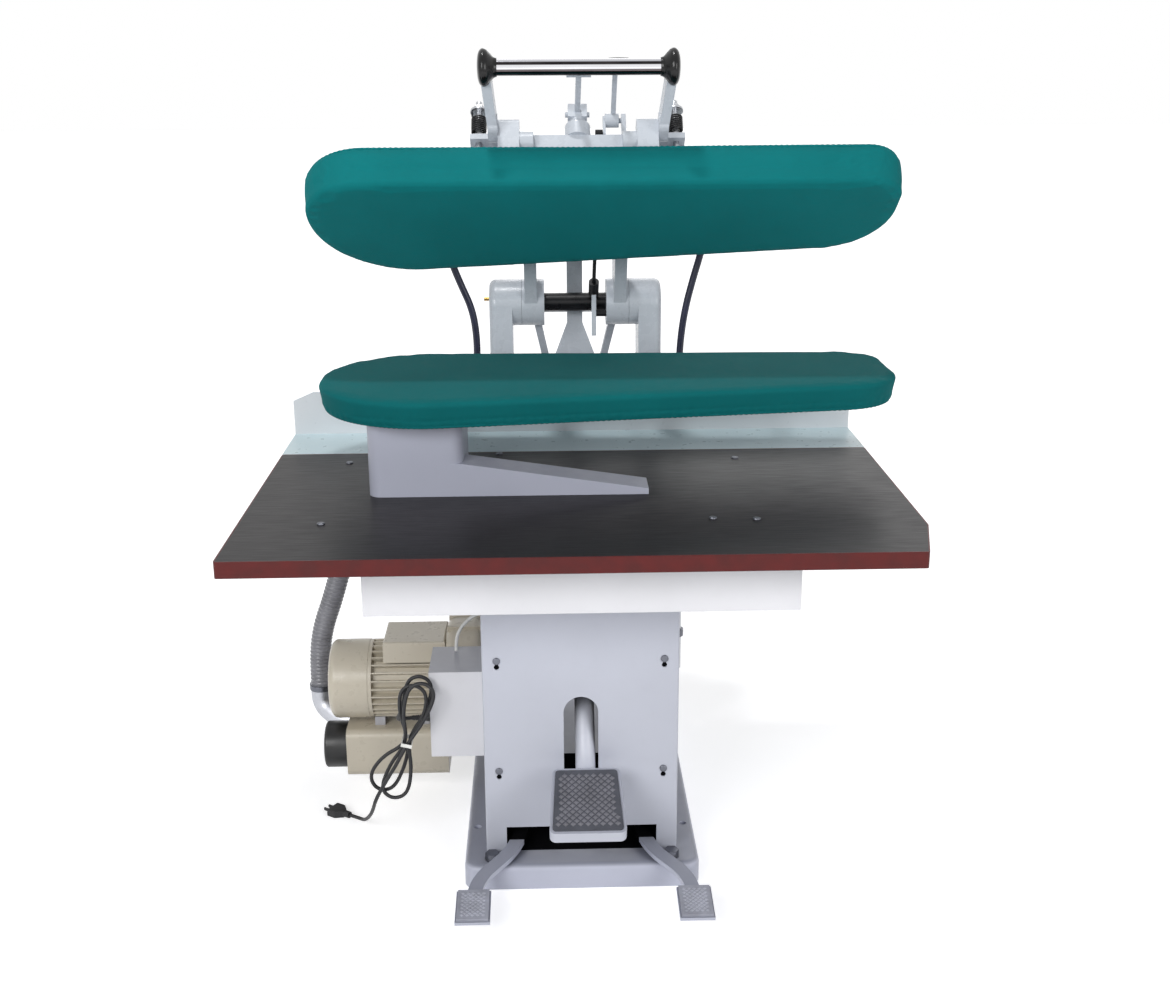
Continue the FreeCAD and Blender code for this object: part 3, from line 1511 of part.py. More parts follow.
def control_lead():
    start = (control_lead_bends[0][0], control_lead_bends[0][1], ebox_top)
    end = (-frame_half, control_lead_bends[-1][1], control_lead_bends[-1][2])
    return tube(route([start] + control_lead_bends + [end], "control lead"), control_lead_r, "control lead")


# Blower

def motor_body():
    x = (motor_left, housing_left)
    core = disc(x, blower_y, blower_z, motor_core_r)
    pieces = [core]
    for i in range(motor_fins):
        fin = block(x, (motor_core_r - 2, motor_fin_r), around(0, motor_fin / 2))
        fin.rotate(Vector(0, 0, 0), Vector(1, 0, 0), 360.0 * (i + 0.5) / motor_fins)
        fin.translate(Vector(0, blower_y, blower_z))
        pieces.append(fin)
    end_ring = disc((motor_left, motor_left + 8), blower_y, blower_z, motor_fin_r)
    body = fuse(pieces + [end_ring])
    return body.cut(disc((x[0] - 1, x[1] + 1), blower_y, blower_z, motor_shaft_r + run_fit))


def fan_cowl():
    shell = disc((cowl_left, motor_left), blower_y, blower_z, cowl_r)
    rim = [edge for edge in shell.Edges if edge.BoundBox.XMax < cowl_left + 0.01]
    shell = shell.makeFillet(cowl_round, rim)
    inside = disc((cowl_left + cowl_wall, motor_left + 1), blower_y, blower_z, cowl_r - cowl_wall)
    rim = [edge for edge in inside.Edges if edge.BoundBox.XMax < cowl_left + cowl_wall + 0.01]
    inside = inside.makeFillet(cowl_round - cowl_wall, rim)
    shell = shell.cut(inside)
    for i in range(cowl_slots):
        slot = block((cowl_left - 1, cowl_left + cowl_wall + 1), (cowl_r * 0.25, cowl_r * 0.7), around(0, 4))
        slot.rotate(Vector(0, 0, 0), Vector(1, 0, 0), 360.0 * i / cowl_slots)
        slot.translate(Vector(0, blower_y, blower_z))
        shell = shell.cut(slot)
    return shell


def terminal_box():
    box = block((tbox_left, housing_left - seat_gap), (tbox_front, tbox_front + tbox_depth),
                (tbox_low, tbox_low + tbox_height))
    upper = [edge for edge in box.Edges if edge.BoundBox.ZMin > tbox_low + tbox_height - 0.01]
    box = box.makeFillet(5, upper)
    return box.cut(disc((tbox_left - 1, housing_left + 1), blower_y, blower_z, motor_fin_r + seat_gap))


def blower_housing():
    x = (housing_left, housing_right)
    drum = disc(x, blower_y, blower_z, housing_r)
    rims = [edge for edge in drum.Edges if edge.BoundBox.XLength < 0.01]
    drum = drum.makeFillet(housing_round, rims)
    pieces = [drum]
    for i in range(housing_ribs):
        rib = block((x[0] + 4, x[1] - 4), (housing_r - housing_round, housing_r + housing_rib),
                    around(0, housing_rib / 2))
        rib.rotate(Vector(0, 0, 0), Vector(1, 0, 0), 360.0 * (i + 0.5) / housing_ribs)
        rib.translate(Vector(0, blower_y, blower_z))
        pieces.append(rib)
    body = fuse(pieces)
    room_left = housing_left + impeller_side
    room_x = (room_left, room_left + impeller_width + 2 * impeller_play)
    body = body.cut(disc(room_x, blower_y, blower_z, impeller_r + impeller_play))
    return body.cut(disc((x[0] - 1, room_x[0] + 1), blower_y, blower_z, motor_shaft_r + run_fit))


def rotor():
    wheel_x = housing_left + impeller_side + impeller_play
    wheel = disc((wheel_x, wheel_x + impeller_width), blower_y, blower_z, impeller_r)
    for i in range(impeller_blades):
        pocket = block((wheel_x - 1, wheel_x + impeller_width * 0.6), (impeller_r * 0.55, impeller_r * 0.92),
                       around(0, 9))
        pocket.rotate(Vector(0, 0, 0), Vector(1, 0, 0), 360.0 * i / impeller_blades)
        pocket.translate(Vector(0, blower_y, blower_z))
        wheel = wheel.cut(pocket)
    fan_x = cowl_left + cowl_wall + fan_gap
    shaft = disc((fan_x, wheel_x + impeller_width), blower_y, blower_z, motor_shaft_r)
    fan = disc((fan_x + fan_width - 4, fan_x + fan_width), blower_y, blower_z, fan_r * 0.6)
    pieces = [wheel, shaft, fan]
    for i in range(fan_blades):
        blade = block((fan_x, fan_x + fan_width), (motor_shaft_r - 2, fan_r), around(0, 2))
        blade.rotate(Vector(0, 0, 0), Vector(1, 0, 0), 360.0 * i / fan_blades)
        blade.translate(Vector(0, blower_y, blower_z))
        pieces.append(blade)
    return fuse(pieces)


def silencer():
    y = around(silencer_y, silencer_deep / 2)
    body = block((silencer_left, housing_left), y, (silencer_low, silencer_high))
    long_edges = [edge for edge in body.Edges if edge.BoundBox.XLength > 1]
    body = body.makeFillet(silencer_round, long_edges)
    port = rod((elbow_end_x, y[1] + 1, elbow_end_z), (elbow_end_x, y[1] - suction_r * 2, elbow_end_z),
               suction_r - suction_wall)
    return body.cut(port)


def silencer_cap_end():
    middle_z = (silencer_low + silencer_high) / 2
    cap = disc((silencer_left - silencer_cap, silencer_left), silencer_y, middle_z, silencer_cap_r)
    rim = [edge for edge in cap.Edges if edge.BoundBox.XMax < silencer_left - silencer_cap + 0.01]
    cap = cap.makeFillet(6, rim)
    mouth = disc((silencer_left - silencer_cap - 1, silencer_left - silencer_cap / 3), silencer_y, middle_z,
                 silencer_cap_bore)
    return cap.cut(mouth)


def blower_bracket():
    """Plate that carries the housing on the column, and two feet between motor and silencer."""
    plate = block((housing_right, -frame_half), (column_back - bracket_deep, column_back),
                  (bracket_low, bracket_high))
    pieces = [plate]
    for x in motor_foot_places:
        foot = block(around(x, motor_foot / 2), around(silencer_y, motor_foot), (silencer_high, blower_z))
        pieces.append(foot.cut(disc(around(x, motor_foot), blower_y, blower_z, motor_fin_r + seat_gap)))
    return pieces


# Suction line

def suction_pipes():
    x, y = neck_port
    points = [(x, y, table_z), (x, y, suction_z)] + [(bx, by, suction_z) for bx, by in suction_bends]
    last = suction_bends[-1]
    points.append((last[0], last[1], hose_top_z))
    pipe = hollow_tube(route(points, "suction pipe"), suction_r, suction_wall, "suction pipe")
    end = (elbow_end_x, silencer_y + silencer_deep / 2, elbow_end_z)
    turn = (elbow_end_x, end[1] + suction_r * 2.4, elbow_end_z)
    points = [hose_bottom] + elbow_bends + [turn, end]
    elbow = hollow_tube(route(points, "elbow"), suction_r, suction_wall, "elbow")
    return [pipe, elbow]


def stations(edges, pitch):
    """Places and headings at equal steps along edges that meet end to end."""
    path = Part.Wire(edges)
    count = round(path.Length / pitch)
    step = path.Length / count
    marks = []
    passed = 0.0
    for edge in edges:
        while len(marks) <= count and step * len(marks) <= passed + edge.Length + 1e-6:
            at = edge.getParameterByLength(min(edge.Length, max(0.0, step * len(marks) - passed)))
            marks.append((edge.valueAt(at), edge.tangentAt(at)))
        passed += edge.Length
    return marks


def ring_at(mark, radius):
    """Circle across the path, with its start always on the same side."""
    place, heading = mark
    plane = Part.Circle(place, heading, radius)
    plane.XAxis = Vector(0, 1, 0)
    return Part.Wire(plane.toShape())


def vacuum_hose():
    top = (suction_bends[-1][0], suction_bends[-1][1], hose_top_z)
    edges = route([top] + hose_bends + [hose_bottom], "vacuum hose")
    marks = stations(edges, hose_rib_pitch / 4)
    rings = []
    last = len(marks) - 1
    for i, mark in enumerate(marks):
        ridge = i % 4 in (1, 2) and 3 < i < last - 3
        rings.append(ring_at(mark, hose_rib_r if ridge else hose_valley_r))
    body = Part.makeLoft(rings, True, True)
    return body.cut(tube(edges, hose_bore_r, "vacuum hose bore"))


def hose_clamps():
    """Bands on the pipe ends that the vacuum hose meets."""
    bands = []
    ends = ((suction_bends[-1][0], hose_top_z), (hose_bottom[0], hose_bottom[2] - clamp_width))
    y = hose_bottom[1]
    for x, z in ends:
        ring = rod((x, y, z), (x, y, z + clamp_width), suction_r + seat_gap + clamp_band)
        bands.append(ring.cut(rod((x, y, z - 1), (x, y, z + clamp_width + 1), suction_r + seat_gap)))
    return bands


# Power cord

def hank_point(across, up, layer):
    lean = math.radians(hank_lean)
    rise = Vector(math.sin(lean), 0, math.cos(lean))
    right = Vector(math.cos(lean), 0, -math.sin(lean))
    return hank_middle + right * across + rise * up - Vector(0, layer, 0)


def hank_points():
    """Loops of the hank: over the top, through the tie, round the bottom and up again."""
    turns = [top + bottom for top, bottom in zip(hank_tops, hank_bottoms + [[]])]
    points = []
    for turn, loop in enumerate(turns):
        for i, (across, up) in enumerate(loop):
            points.append(hank_point(across, up, hank_step * (turn + i / len(turns[0]))))
    return points


def cord_edges():
    """Edges of the lead, the hank and the tail, in order."""
    gland_end = (ebox_left - gland_length, gland_y, gland_z)
    lead = [Vector(gland_end)] + [Vector(p) for p in cord_lead_points]
    loops = hank_points()
    tail = [Vector(p) for p in cord_tail_points] + [plug_start]
    edges = route(lead + loops + tail, "power cord")
    lead_edges = 2 * (len(lead) - 1)
    hank_edges = lead_edges + 2 * len(loops)
    return edges[:lead_edges], edges[lead_edges:hank_edges], edges[hank_edges:]


def self_gap(edges, radius, name):
    samples = []
    for edge in edges:
        samples += edge.discretize(7)[:-1]
    apart = 24
    least = min(samples[i].distanceToPoint(samples[j])
                for i in range(len(samples)) for j in range(i + apart, len(samples)))
    print(name, "least gap to itself", round(least - 2 * radius, 2))


def cord_gland():
    root = Vector(ebox_left, gland_y, gland_z)
    return Part.makeCone(gland_root_r, gland_tip_r, gland_length, root, Vector(-1, 0, 0))


def cord_tie():
    """Band round the waist of the hank."""
    layers = hank_step * (len(hank_tops) - 1) + hank_step / 2
    low_y = -layers - cord_r - seat_gap - hank_step
    high_y = cord_r + seat_gap
    outer = block(around(0, tie_half + tie_band), (low_y - tie_band, high_y + tie_band),
                  around(0, tie_height / 2))
    inner = block(around(0, tie_half), (low_y, high_y), around(0, tie_height))
    band = outer.cut(inner)
    band.rotate(Vector(0, 0, 0), Vector(0, 1, 0), hank_lean)
    band.translate(hank_middle)
    return band


def cord_plug():
    """Flat moulded plug with two flat pins, lying on the floor."""
    neck = Part.makeCone(plug_neck / 2, plug_thick / 2, plug_neck, Vector(0, 0, 0), Vector(1, 0, 0))
    half = plug_width / 2
    profile = [Vector(plug_neck - 1, -plug_thick / 3, 0), Vector(plug_neck + plug_length * 0.4, -half, 0),
               Vector(plug_neck + plug_length, -half, 0), Vector(plug_neck + plug_length, half, 0),
               Vector(plug_neck + plug_length * 0.4, half, 0), Vector(plug_neck - 1, plug_thick / 3, 0)]
    body = Part.Face(Part.makePolygon(profile + profile[:1])).extrude(Vector(0, 0, plug_thick))
    body.translate(Vector(0, 0, -plug_thick / 2))
    pieces = [neck, body]
    long, wide, thick = plug_pin
    start = plug_neck + plug_length
    for side in (-1, 1):
        pin_y = around(side * plug_pin_spread, thick)
        pieces.append(block((start - 1, start + long), pin_y, around(0, wide / 2)))
    plug = fuse(pieces)
    plug.rotate(Vector(0, 0, 0), Vector(0, 0, 1), plug_heading)
    plug.translate(plug_start)
    return plug


# Write every node

os.makedirs("parts", exist_ok=True)
lead_edges, hank_edges, tail_edges = cord_edges()
self_gap(lead_edges + hank_edges + tail_edges, cord_r, "power cord")

save("base_casting", base_casting())
save("column_frame", column_frame())
save("front_cover", front_cover())
save("fasteners", foot_bolts() + screws() + pipe_clamps() + hose_clamps())
save("apron_tray", apron_tray())
save("table_top", table_top())
save("table_edge_band", table_edge_band())
save("rear_shelf", rear_shelf())
save("buck_neck", buck_neck())
save("buck_plate", buck_plate())
save("buck_pad", buck_pad())
save("pillars", [pillar(-1), pillar(1)])
save("rear_brace", rear_brace())
save("stop_bumper", stop_bumper())
save("counter_springs", counter_springs())
save("steam_pipes", steam_pipes())
save("steam_hoses", steam_hoses())
save("brass_fittings", brass_fittings())
save("electrical_box", electrical_box())
save("box_lid", box_lid())
save("control_lead", control_lead())
save("motor", [motor_body(), terminal_box()])
save("fan_cowl", fan_cowl())
save("blower_housing", blower_housing())
save("silencer", silencer())
save("silencer_cap", silencer_cap_end())
save("blower_bracket", blower_bracket())
save("rotor", rotor())
save("suction_pipes", suction_pipes())
save("vacuum_hose", vacuum_hose())
save("box_fittings", [contactor(), cord_gland()])
save("cord_lead", tube(lead_edges, cord_r, "cord lead"))
save("cord_hank", tube(hank_edges, cord_r, "cord hank"))
save("cord_tail", tube(tail_edges, cord_r, "cord tail"))
save("cord_tie", cord_tie())
save("cord_plug", cord_plug())
save("shafts", [main_shaft()] + pedal_shafts())
save("pedal_lever", pedal_lever())
save("pedal_tray", pedal_tray_plate())
save("pedal_rubber", pedal_rubber_pad())
save("push_rod", push_rod())
for side, word in ((-1, "left"), (1, "right")):
    save(word + "_arm", yoke_arm(side))
    save(word + "_small_lever", small_lever(side))
    save(word + "_small_pad", small_pad(side))
save("yoke_pins", yoke_pins() + levelling_rods())
save("head_chest", head_chest())
save("head_cover", head_cover())
save("head_pad", head_pad())
save("head_blocks", head_blocks() + [valve_strip()])
save("crossbar", crossbar())
save("levelling_springs", levelling_springs())
save("handle_arms", handle_arms())
save("handle_bar", handle_bar())
save("handle_knobs", handle_knobs())
save("steam_lever", steam_lever())
save("steam_rod", steam_rod())
save("head_fittings", head_fittings())
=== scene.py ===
import math

import bmesh
import bpy
from mathutils import Matrix, Vector, noise
from mathutils.kdtree import KDTree


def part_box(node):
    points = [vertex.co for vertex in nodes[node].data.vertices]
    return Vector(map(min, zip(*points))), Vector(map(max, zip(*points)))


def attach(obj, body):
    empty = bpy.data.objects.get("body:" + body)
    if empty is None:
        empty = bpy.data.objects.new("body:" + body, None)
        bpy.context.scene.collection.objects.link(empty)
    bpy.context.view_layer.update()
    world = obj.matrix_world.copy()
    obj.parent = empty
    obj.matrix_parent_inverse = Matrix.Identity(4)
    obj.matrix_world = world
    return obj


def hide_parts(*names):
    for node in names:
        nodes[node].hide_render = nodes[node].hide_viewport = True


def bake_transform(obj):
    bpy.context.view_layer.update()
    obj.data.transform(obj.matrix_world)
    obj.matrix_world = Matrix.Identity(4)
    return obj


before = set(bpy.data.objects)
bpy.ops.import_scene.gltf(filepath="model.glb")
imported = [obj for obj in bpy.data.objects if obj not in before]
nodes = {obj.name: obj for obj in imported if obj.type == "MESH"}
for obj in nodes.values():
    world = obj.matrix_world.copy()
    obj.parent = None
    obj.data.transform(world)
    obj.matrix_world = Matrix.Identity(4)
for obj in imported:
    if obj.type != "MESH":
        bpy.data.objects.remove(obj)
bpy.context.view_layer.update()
scene = bpy.context.scene

# Routes of the cords and hoses in millimetres, with their radii, ribs and sleeve in metres
gland_mouth = (-319, -158, 250)
cord_lead = [(-338, -158, 250), (-356, -170, 254), (-363, -194, 264), (-362, -219, 280)]
hank_middle = Vector((-341, -238, 246))
hank_lean = math.radians(13.5)
hank_step = 9.2
hank_tops = [[(-23, 60), (-27, 122), (0, 139), (27, 122), (23, 60)],
             [(-27, 52), (-36, 104), (-8, 122), (20, 104), (21, 50)],
             [(-21, 60), (-21, 116), (7, 134), (35, 116), (25, 56)]]
hank_bottoms = [[(5, 14), (5, -14), (6, -60), (-6, -116), (-39, -124),
                 (-60, -95), (-42, -48), (-5, -14), (-5, 14)],
                [(5, 14), (5, -14), (20, -58), (24, -115), (-4, -133),
                 (-32, -115), (-24, -58), (-5, -14), (-5, 14)]]
cord_tail = [(-342, -266, 243), (-362, -270, 205), (-387, -273, 165), (-408, -265, 124),
             (-418, -237, 86), (-430, -202, 52), (-446, -166, 22), (-459, -135, 8)]
plug_mouth = (-484, -118.5, 7.6)
cord_radius = 0.00375
sleeve_length = 0.021
sleeve_root = 0.0062
sleeve_tip = 0.0046
control_route = [(-248, -118, 379), (-248, -118, 402), (-240, -117, 426), (-222, -116, 446),
                 (-203, -115, 459), (-182.7, -115, 459)]
control_radius = 0.0035
vacuum_route = [(-505, 172, 600), (-505, 172, 546), (-513, 172, 470), (-537, 172, 390), (-566, 172, 312),
                (-576, 172, 240), (-576, 172, 180)]
vacuum_rib = 0.0235
vacuum_valley = 0.021
vacuum_pitch = 0.009
steam_heading = Vector((0, 0.616, 0.788))
steam_straight = 31
steam_radius = 0.0075
left_port = Vector((-262, 74.3, 1243.3))
right_port = Vector((286, 37.2, 1272.2))
left_bends = [(-262, 137, 1293), (-262, 190, 1283), (-262, 225, 1242), (-261, 226, 1184), (-256, 225, 1126),
              (-236, 226, 1074), (-213, 228, 1020), (-205, 230, 960), (-206, 231, 896), (-204, 229, 820),
              (-205, 230, 738), (-205, 230, 660)]
right_bends = [(286, 108, 1327), (288, 175, 1315), (289, 217, 1266), (287, 226, 1206), (277, 228, 1142),
               (259, 229, 1080), (243, 230, 1014), (234, 231, 944), (232, 229, 874), (234, 231, 806),
               (233, 230, 734), (233, 230, 660)]

# Padded covers: the ways they face, the angle of the open head, and sizes in metres
head_face = Vector((0, -0.6157, -0.788))
buck_face = Vector((0, 0, 1))
open_angle = math.radians(38)
pad_voxel = 0.006
pad_swell = 0.004
held_height = 0.008
rim_step = 0.004
fold_reach = 0.022
fold_pitch = 0.019
fold_height = 0.0011
hem_depth = 0.0005
hem_step = 0.005
hem_inset = 0.004
hem_lift = 0.0012
hem_radius = 0.0028
hem_ripple = 0.0005
hem_pitch = 0.0095

# Pedals in metres, with the pitch and height of the raised diamonds, and the room inside the column whose
# faces get painted shade
pedal_front = Vector((0.008, -0.527, 0.195))
pedal_rear = Vector((0.008, -0.392, 0.2545))
pedal_front_half = 0.065
pedal_rear_half = 0.0575
pedal_end_margin = 0.009
pad_side_margin = 0.003
pedal_diamond = (0.0136, 0.0024)
small_pad_half = (0.029, 0.039)
small_pad_tilt = math.radians(8.3)
small_diamond = (0.0096, 0.0016)
column_shade_room = ((-0.1825, -0.3425, 0.02), (0.1825, 0.06, 0.6175))

# Handle in metres: inner ends of the knobs with their ways along X, and axes as Y and Z.
# The knob's profile is in millimetres.
knob_inner = ((-0.138, -1), (0.154, 1))
knob_axis = (-0.1611, 1.5186)
knob_profile = [(0, 16.2), (5.6, 18.5), (11.5, 25), (17.1, 30.7), (22.4, 33), (27, 32.3), (31.2, 28.2),
                (33.8, 20.5), (34.9, 10), (35, 0.5)]
grip_ends = (0.061, 0.101)
grip_axis = (-0.1275, 1.5291)

# Camera fitted to the photo: sensor in millimetres, focal length and picture width in pixels,
# place in metres and angles in degrees
sensor_width = 36
photo_focal = 1420
photo_width = 1170
camera_place = (-0.0595, -2.8, 1.5356)
camera_yaw = -1.62
camera_pitch = 17.07
camera_roll = -0.3


# Helpers

def rgb(red, green, blue):
    """Linear colour of a screen colour given from 0 to 255."""
    def linear(value):
        value = value / 255
        return value / 12.92 if value <= 0.04045 else ((value + 0.055) / 1.055) ** 2.4
    return (linear(red), linear(green), linear(blue), 1)


def shade(colour, factor):
    """Colour made darker or brighter."""
    return tuple(min(1, channel * factor) for channel in colour[:3]) + (1,)


def metres(points):
    return [Vector(point) / 1000 for point in points]


def show(name, data):
    made = bpy.data.objects.new(name, data)
    scene.collection.objects.link(made)
    return made


def smooth(mesh):
    mesh.polygons.foreach_set("use_smooth", [True] * len(mesh.polygons))


def spline(name, points, radius, resolution):
    """Round cord on a smooth line that follows the route's points, or the bare line if the radius is 0."""
    curve = bpy.data.curves.new(name, "CURVE")
    curve.dimensions = "3D"
    curve.resolution_u = resolution
    curve.bevel_depth = radius
    curve.bevel_resolution = 5
    curve.use_fill_caps = radius > 0
    line = curve.splines.new("NURBS")
    line.points.add(len(points) - 1)
    for knot, point in zip(line.points, points):
        knot.co = (*point, 1)
    line.order_u = 3
    line.use_endpoint_u = True
    return show(name, curve)


def centreline(points, resolution):
    """Points read along the smooth line of a route."""
    line = spline("line", points, 0, resolution)
    mesh = bpy.data.meshes.new_from_object(line.evaluated_get(bpy.context.evaluated_depsgraph_get()))
    found = [vertex.co.copy() for vertex in mesh.vertices]
    curve = line.data
    bpy.data.objects.remove(line)
    bpy.data.curves.remove(curve)
    bpy.data.meshes.remove(mesh)
    return found


def length_of(path):
    return sum((b - a).length for a, b in zip(path, path[1:]))


def sweep(name, path, radius_at, sides, closed=False):
    """Tube along a path, whose radius is given by the length run so far."""
    mesh = bpy.data.meshes.new(name)
    work = bmesh.new()
    count = len(path)
    across = Vector((0, 0, 1)).cross(path[1] - path[0])
    if across.length < 1e-6:
        across = Vector((1, 0, 0))
    across.normalize()
    run = 0.0
    rings = []
    for i, point in enumerate(path):
        before = path[i - 1] if i or closed else point
        after = path[(i + 1) % count] if i + 1 < count or closed else point
        along = (after - before).normalized()
        across = (across - along * across.dot(along)).normalized()
        up = along.cross(across)
        if i:
            run += (point - path[i - 1]).length
        radius = radius_at(run)
        turns = [2 * math.pi * j / sides for j in range(sides)]
        rings.append([work.verts.new(point + radius * (math.cos(t) * across + math.sin(t) * up))
                      for t in turns])
    pairs = list(zip(rings, rings[1:]))
    if closed:
        pairs.append((rings[-1], rings[0]))
    for near, far in pairs:
        for j in range(sides):
            k = (j + 1) % sides
            work.faces.new((near[j], near[k], far[k], far[j]))
    if not closed:
        work.faces.new(list(reversed(rings[0])))
        work.faces.new(rings[-1])
    bmesh.ops.recalc_face_normals(work, faces=work.faces)
    work.to_mesh(mesh)
    work.free()
    smooth(mesh)
    return show(name, mesh)


# Shader helpers

def begin(name):
    made = bpy.data.materials.new(name)
    made.use_nodes = True
    tree = made.node_tree
    return made, tree, tree.nodes["Principled BSDF"]


def add(tree, kind, inputs=(), **settings):
    """New shader node. Each input is a socket's name with a value, or with an output to link."""
    made = tree.nodes.new("ShaderNode" + kind)
    for key, value in settings.items():
        setattr(made, key, value)
    for socket, value in inputs:
        if isinstance(value, bpy.types.NodeSocket):
            tree.links.new(value, made.inputs[socket])
        else:
            made.inputs[socket].default_value = value
    return made


def place_in(tree, stretch=(1, 1, 1), tilt=0.0):
    place = add(tree, "TexCoord").outputs["Object"]
    mapped = add(tree, "Mapping", [("Vector", place), ("Scale", stretch), ("Rotation", (tilt, 0, 0))])
    return mapped.outputs["Vector"]


def cloud(tree, place, scale, detail=3.0):
    return add(tree, "TexNoise", [("Vector", place), ("Scale", scale), ("Detail", detail)]).outputs["Fac"]


def between(tree, factor, low, high, start=0.3, end=0.7):
    """Value that runs from low to high as the factor goes from start to end."""
    made = add(tree, "MapRange", [("Value", factor), ("From Min", start), ("From Max", end),
                                  ("To Min", low), ("To Max", high)])
    return made.outputs["Result"]


def ramp(tree, factor, stops):
    made = add(tree, "ValToRGB", [("Fac", factor)])
    band = made.color_ramp
    while len(band.elements) < len(stops):
        band.elements.new(0.5)
    for element, (where, colour) in zip(band.elements, stops):
        element.position = where
        element.color = colour
    return made.outputs["Color"]


def edges_of(tree, radius):
    """Mask that is 1 on the object's edges and 0 on its faces."""
    soft = add(tree, "Bevel", [("Radius", radius)], samples=4).outputs["Normal"]
    true = add(tree, "NewGeometry").outputs["Normal"]
    same = add(tree, "VectorMath", [(0, soft), (1, true)], operation="DOT_PRODUCT").outputs["Value"]
    return between(tree, same, 1.0, 0.0, 0.86, 0.995)


def mix(tree, factor, first, second):
    made = add(tree, "Mix", data_type="RGBA")
    for index, value in ((0, factor), (6, first), (7, second)):
        if isinstance(value, bpy.types.NodeSocket):
            tree.links.new(value, made.inputs[index])
        else:
            made.inputs[index].default_value = value
    return made.outputs[2]


def within(tree, place, low, high):
    """Mask that is 1 inside a box and 0 outside it."""
    near = add(tree, "VectorMath", [(0, place), (1, low)], operation="SUBTRACT").outputs["Vector"]
    far = add(tree, "VectorMath", [(0, high), (1, place)], operation="SUBTRACT").outputs["Vector"]
    least = add(tree, "VectorMath", [(0, near), (1, far)], operation="MINIMUM").outputs["Vector"]
    axes = add(tree, "SeparateXYZ", [("Vector", least)]).outputs
    flat = add(tree, "Math", [(0, axes["X"]), (1, axes["Y"])], operation="MINIMUM").outputs["Value"]
    depth = add(tree, "Math", [(0, flat), (1, axes["Z"])], operation="MINIMUM").outputs["Value"]
    return between(tree, depth, 0.0, 1.0, 0.0, 0.0002)


def relief(tree, shader, height, depth, round_edge=0.0):
    """Surface detail of a given depth, on edges that are a little rounded."""
    inputs = [("Height", height), ("Distance", depth), ("Strength", 1.0)]
    if round_edge:
        inputs.append(("Normal", add(tree, "Bevel", [("Radius", round_edge)], samples=4).outputs["Normal"]))
    bump = add(tree, "Bump", inputs)
    tree.links.new(bump.outputs["Normal"], shader.inputs["Normal"])


# Materials

def paint(name, colour, rough, wear=0.25, peel=0.00012, edge=0.0014, shine=0.5, top=None, dark=None):
    """Sprayed enamel: cloudy tone, orange peel, thin at the edges.

    Level faces take the colour top, if it is given: a painted shade, which on the shelf is a painted
    reflection tint instead. Faces inside the box dark are nearly black and lose their shine: painted shade.
    """
    made, tree, shader = begin(name)
    shader.inputs["Specular IOR Level"].default_value = shine
    place = place_in(tree)
    tone = ramp(tree, cloud(tree, place, 4.0), [(0.3, shade(colour, 0.95)), (0.7, shade(colour, 1.04))])
    speck = cloud(tree, place, 55.0, 6.0)
    tone = mix(tree, between(tree, speck, 0.0, 0.05, 0.55, 0.75), tone, shade(colour, 0.72))
    # Painted light: level faces take the colour top, a painted shade on most finishes and a painted
    # reflection tint on the shelf.
    if top:
        normal = add(tree, "SeparateXYZ", [("Vector", add(tree, "NewGeometry").outputs["Normal"])])
        tone = mix(tree, between(tree, normal.outputs["Z"], 0.0, 0.9, 0.5, 0.9), tone, top)
    worn = add(tree, "Math", [(0, edges_of(tree, edge * 1.6)), (1, between(tree, speck, 0.0, wear))],
               operation="MULTIPLY").outputs["Value"]
    tone = mix(tree, worn, tone, shade(colour, 1.25))
    # Painted shade: faces inside the box dark are made nearly black and lose their shine, standing in for
    # the shade inside the column.
    if dark:
        inside = within(tree, place, *dark)
        tone = mix(tree, inside, tone, rgb(16, 16, 18))
        tree.links.new(between(tree, inside, shine, 0.0, 0.0, 1.0), shader.inputs["Specular IOR Level"])
    tree.links.new(tone, shader.inputs["Base Color"])
    tree.links.new(between(tree, speck, rough - 0.06, rough + 0.08), shader.inputs["Roughness"])
    relief(tree, shader, cloud(tree, place, 420.0, 1.0), peel, edge)
    return made


def metal(name, colour, rough, stretch, grain=160.0, depth=0.00002, stain=0.88):
    """Bare metal with fine lines along one direction and faint stains."""
    made, tree, shader = begin(name)
    shader.inputs["Metallic"].default_value = 1.0
    lines = cloud(tree, place_in(tree, stretch), grain, 4.0)
    stains = cloud(tree, place_in(tree), 14.0, 5.0)
    tone = ramp(tree, stains, [(0.35, shade(colour, stain)), (0.65, colour)])
    tree.links.new(tone, shader.inputs["Base Color"])
    tree.links.new(between(tree, lines, rough * 0.75, rough * 1.3), shader.inputs["Roughness"])
    relief(tree, shader, lines, depth, 0.0006)
    return made


def moulded(name, colour, rough, grain=500.0, depth=0.00006, edge=0.0008, shine=0.5):
    """Moulded plastic or rubber: fine grain, faint dust and scuffs."""
    made, tree, shader = begin(name)
    shader.inputs["Specular IOR Level"].default_value = shine
    place = place_in(tree)
    dust = cloud(tree, place, 30.0, 6.0)
    tone = ramp(tree, dust, [(0.35, shade(colour, 0.85)), (0.75, shade(colour, 1.2))])
    tree.links.new(tone, shader.inputs["Base Color"])
    tree.links.new(between(tree, dust, rough - 0.07, rough + 0.1), shader.inputs["Roughness"])
    relief(tree, shader, cloud(tree, place, grain, 2.0), depth, edge)
    return made


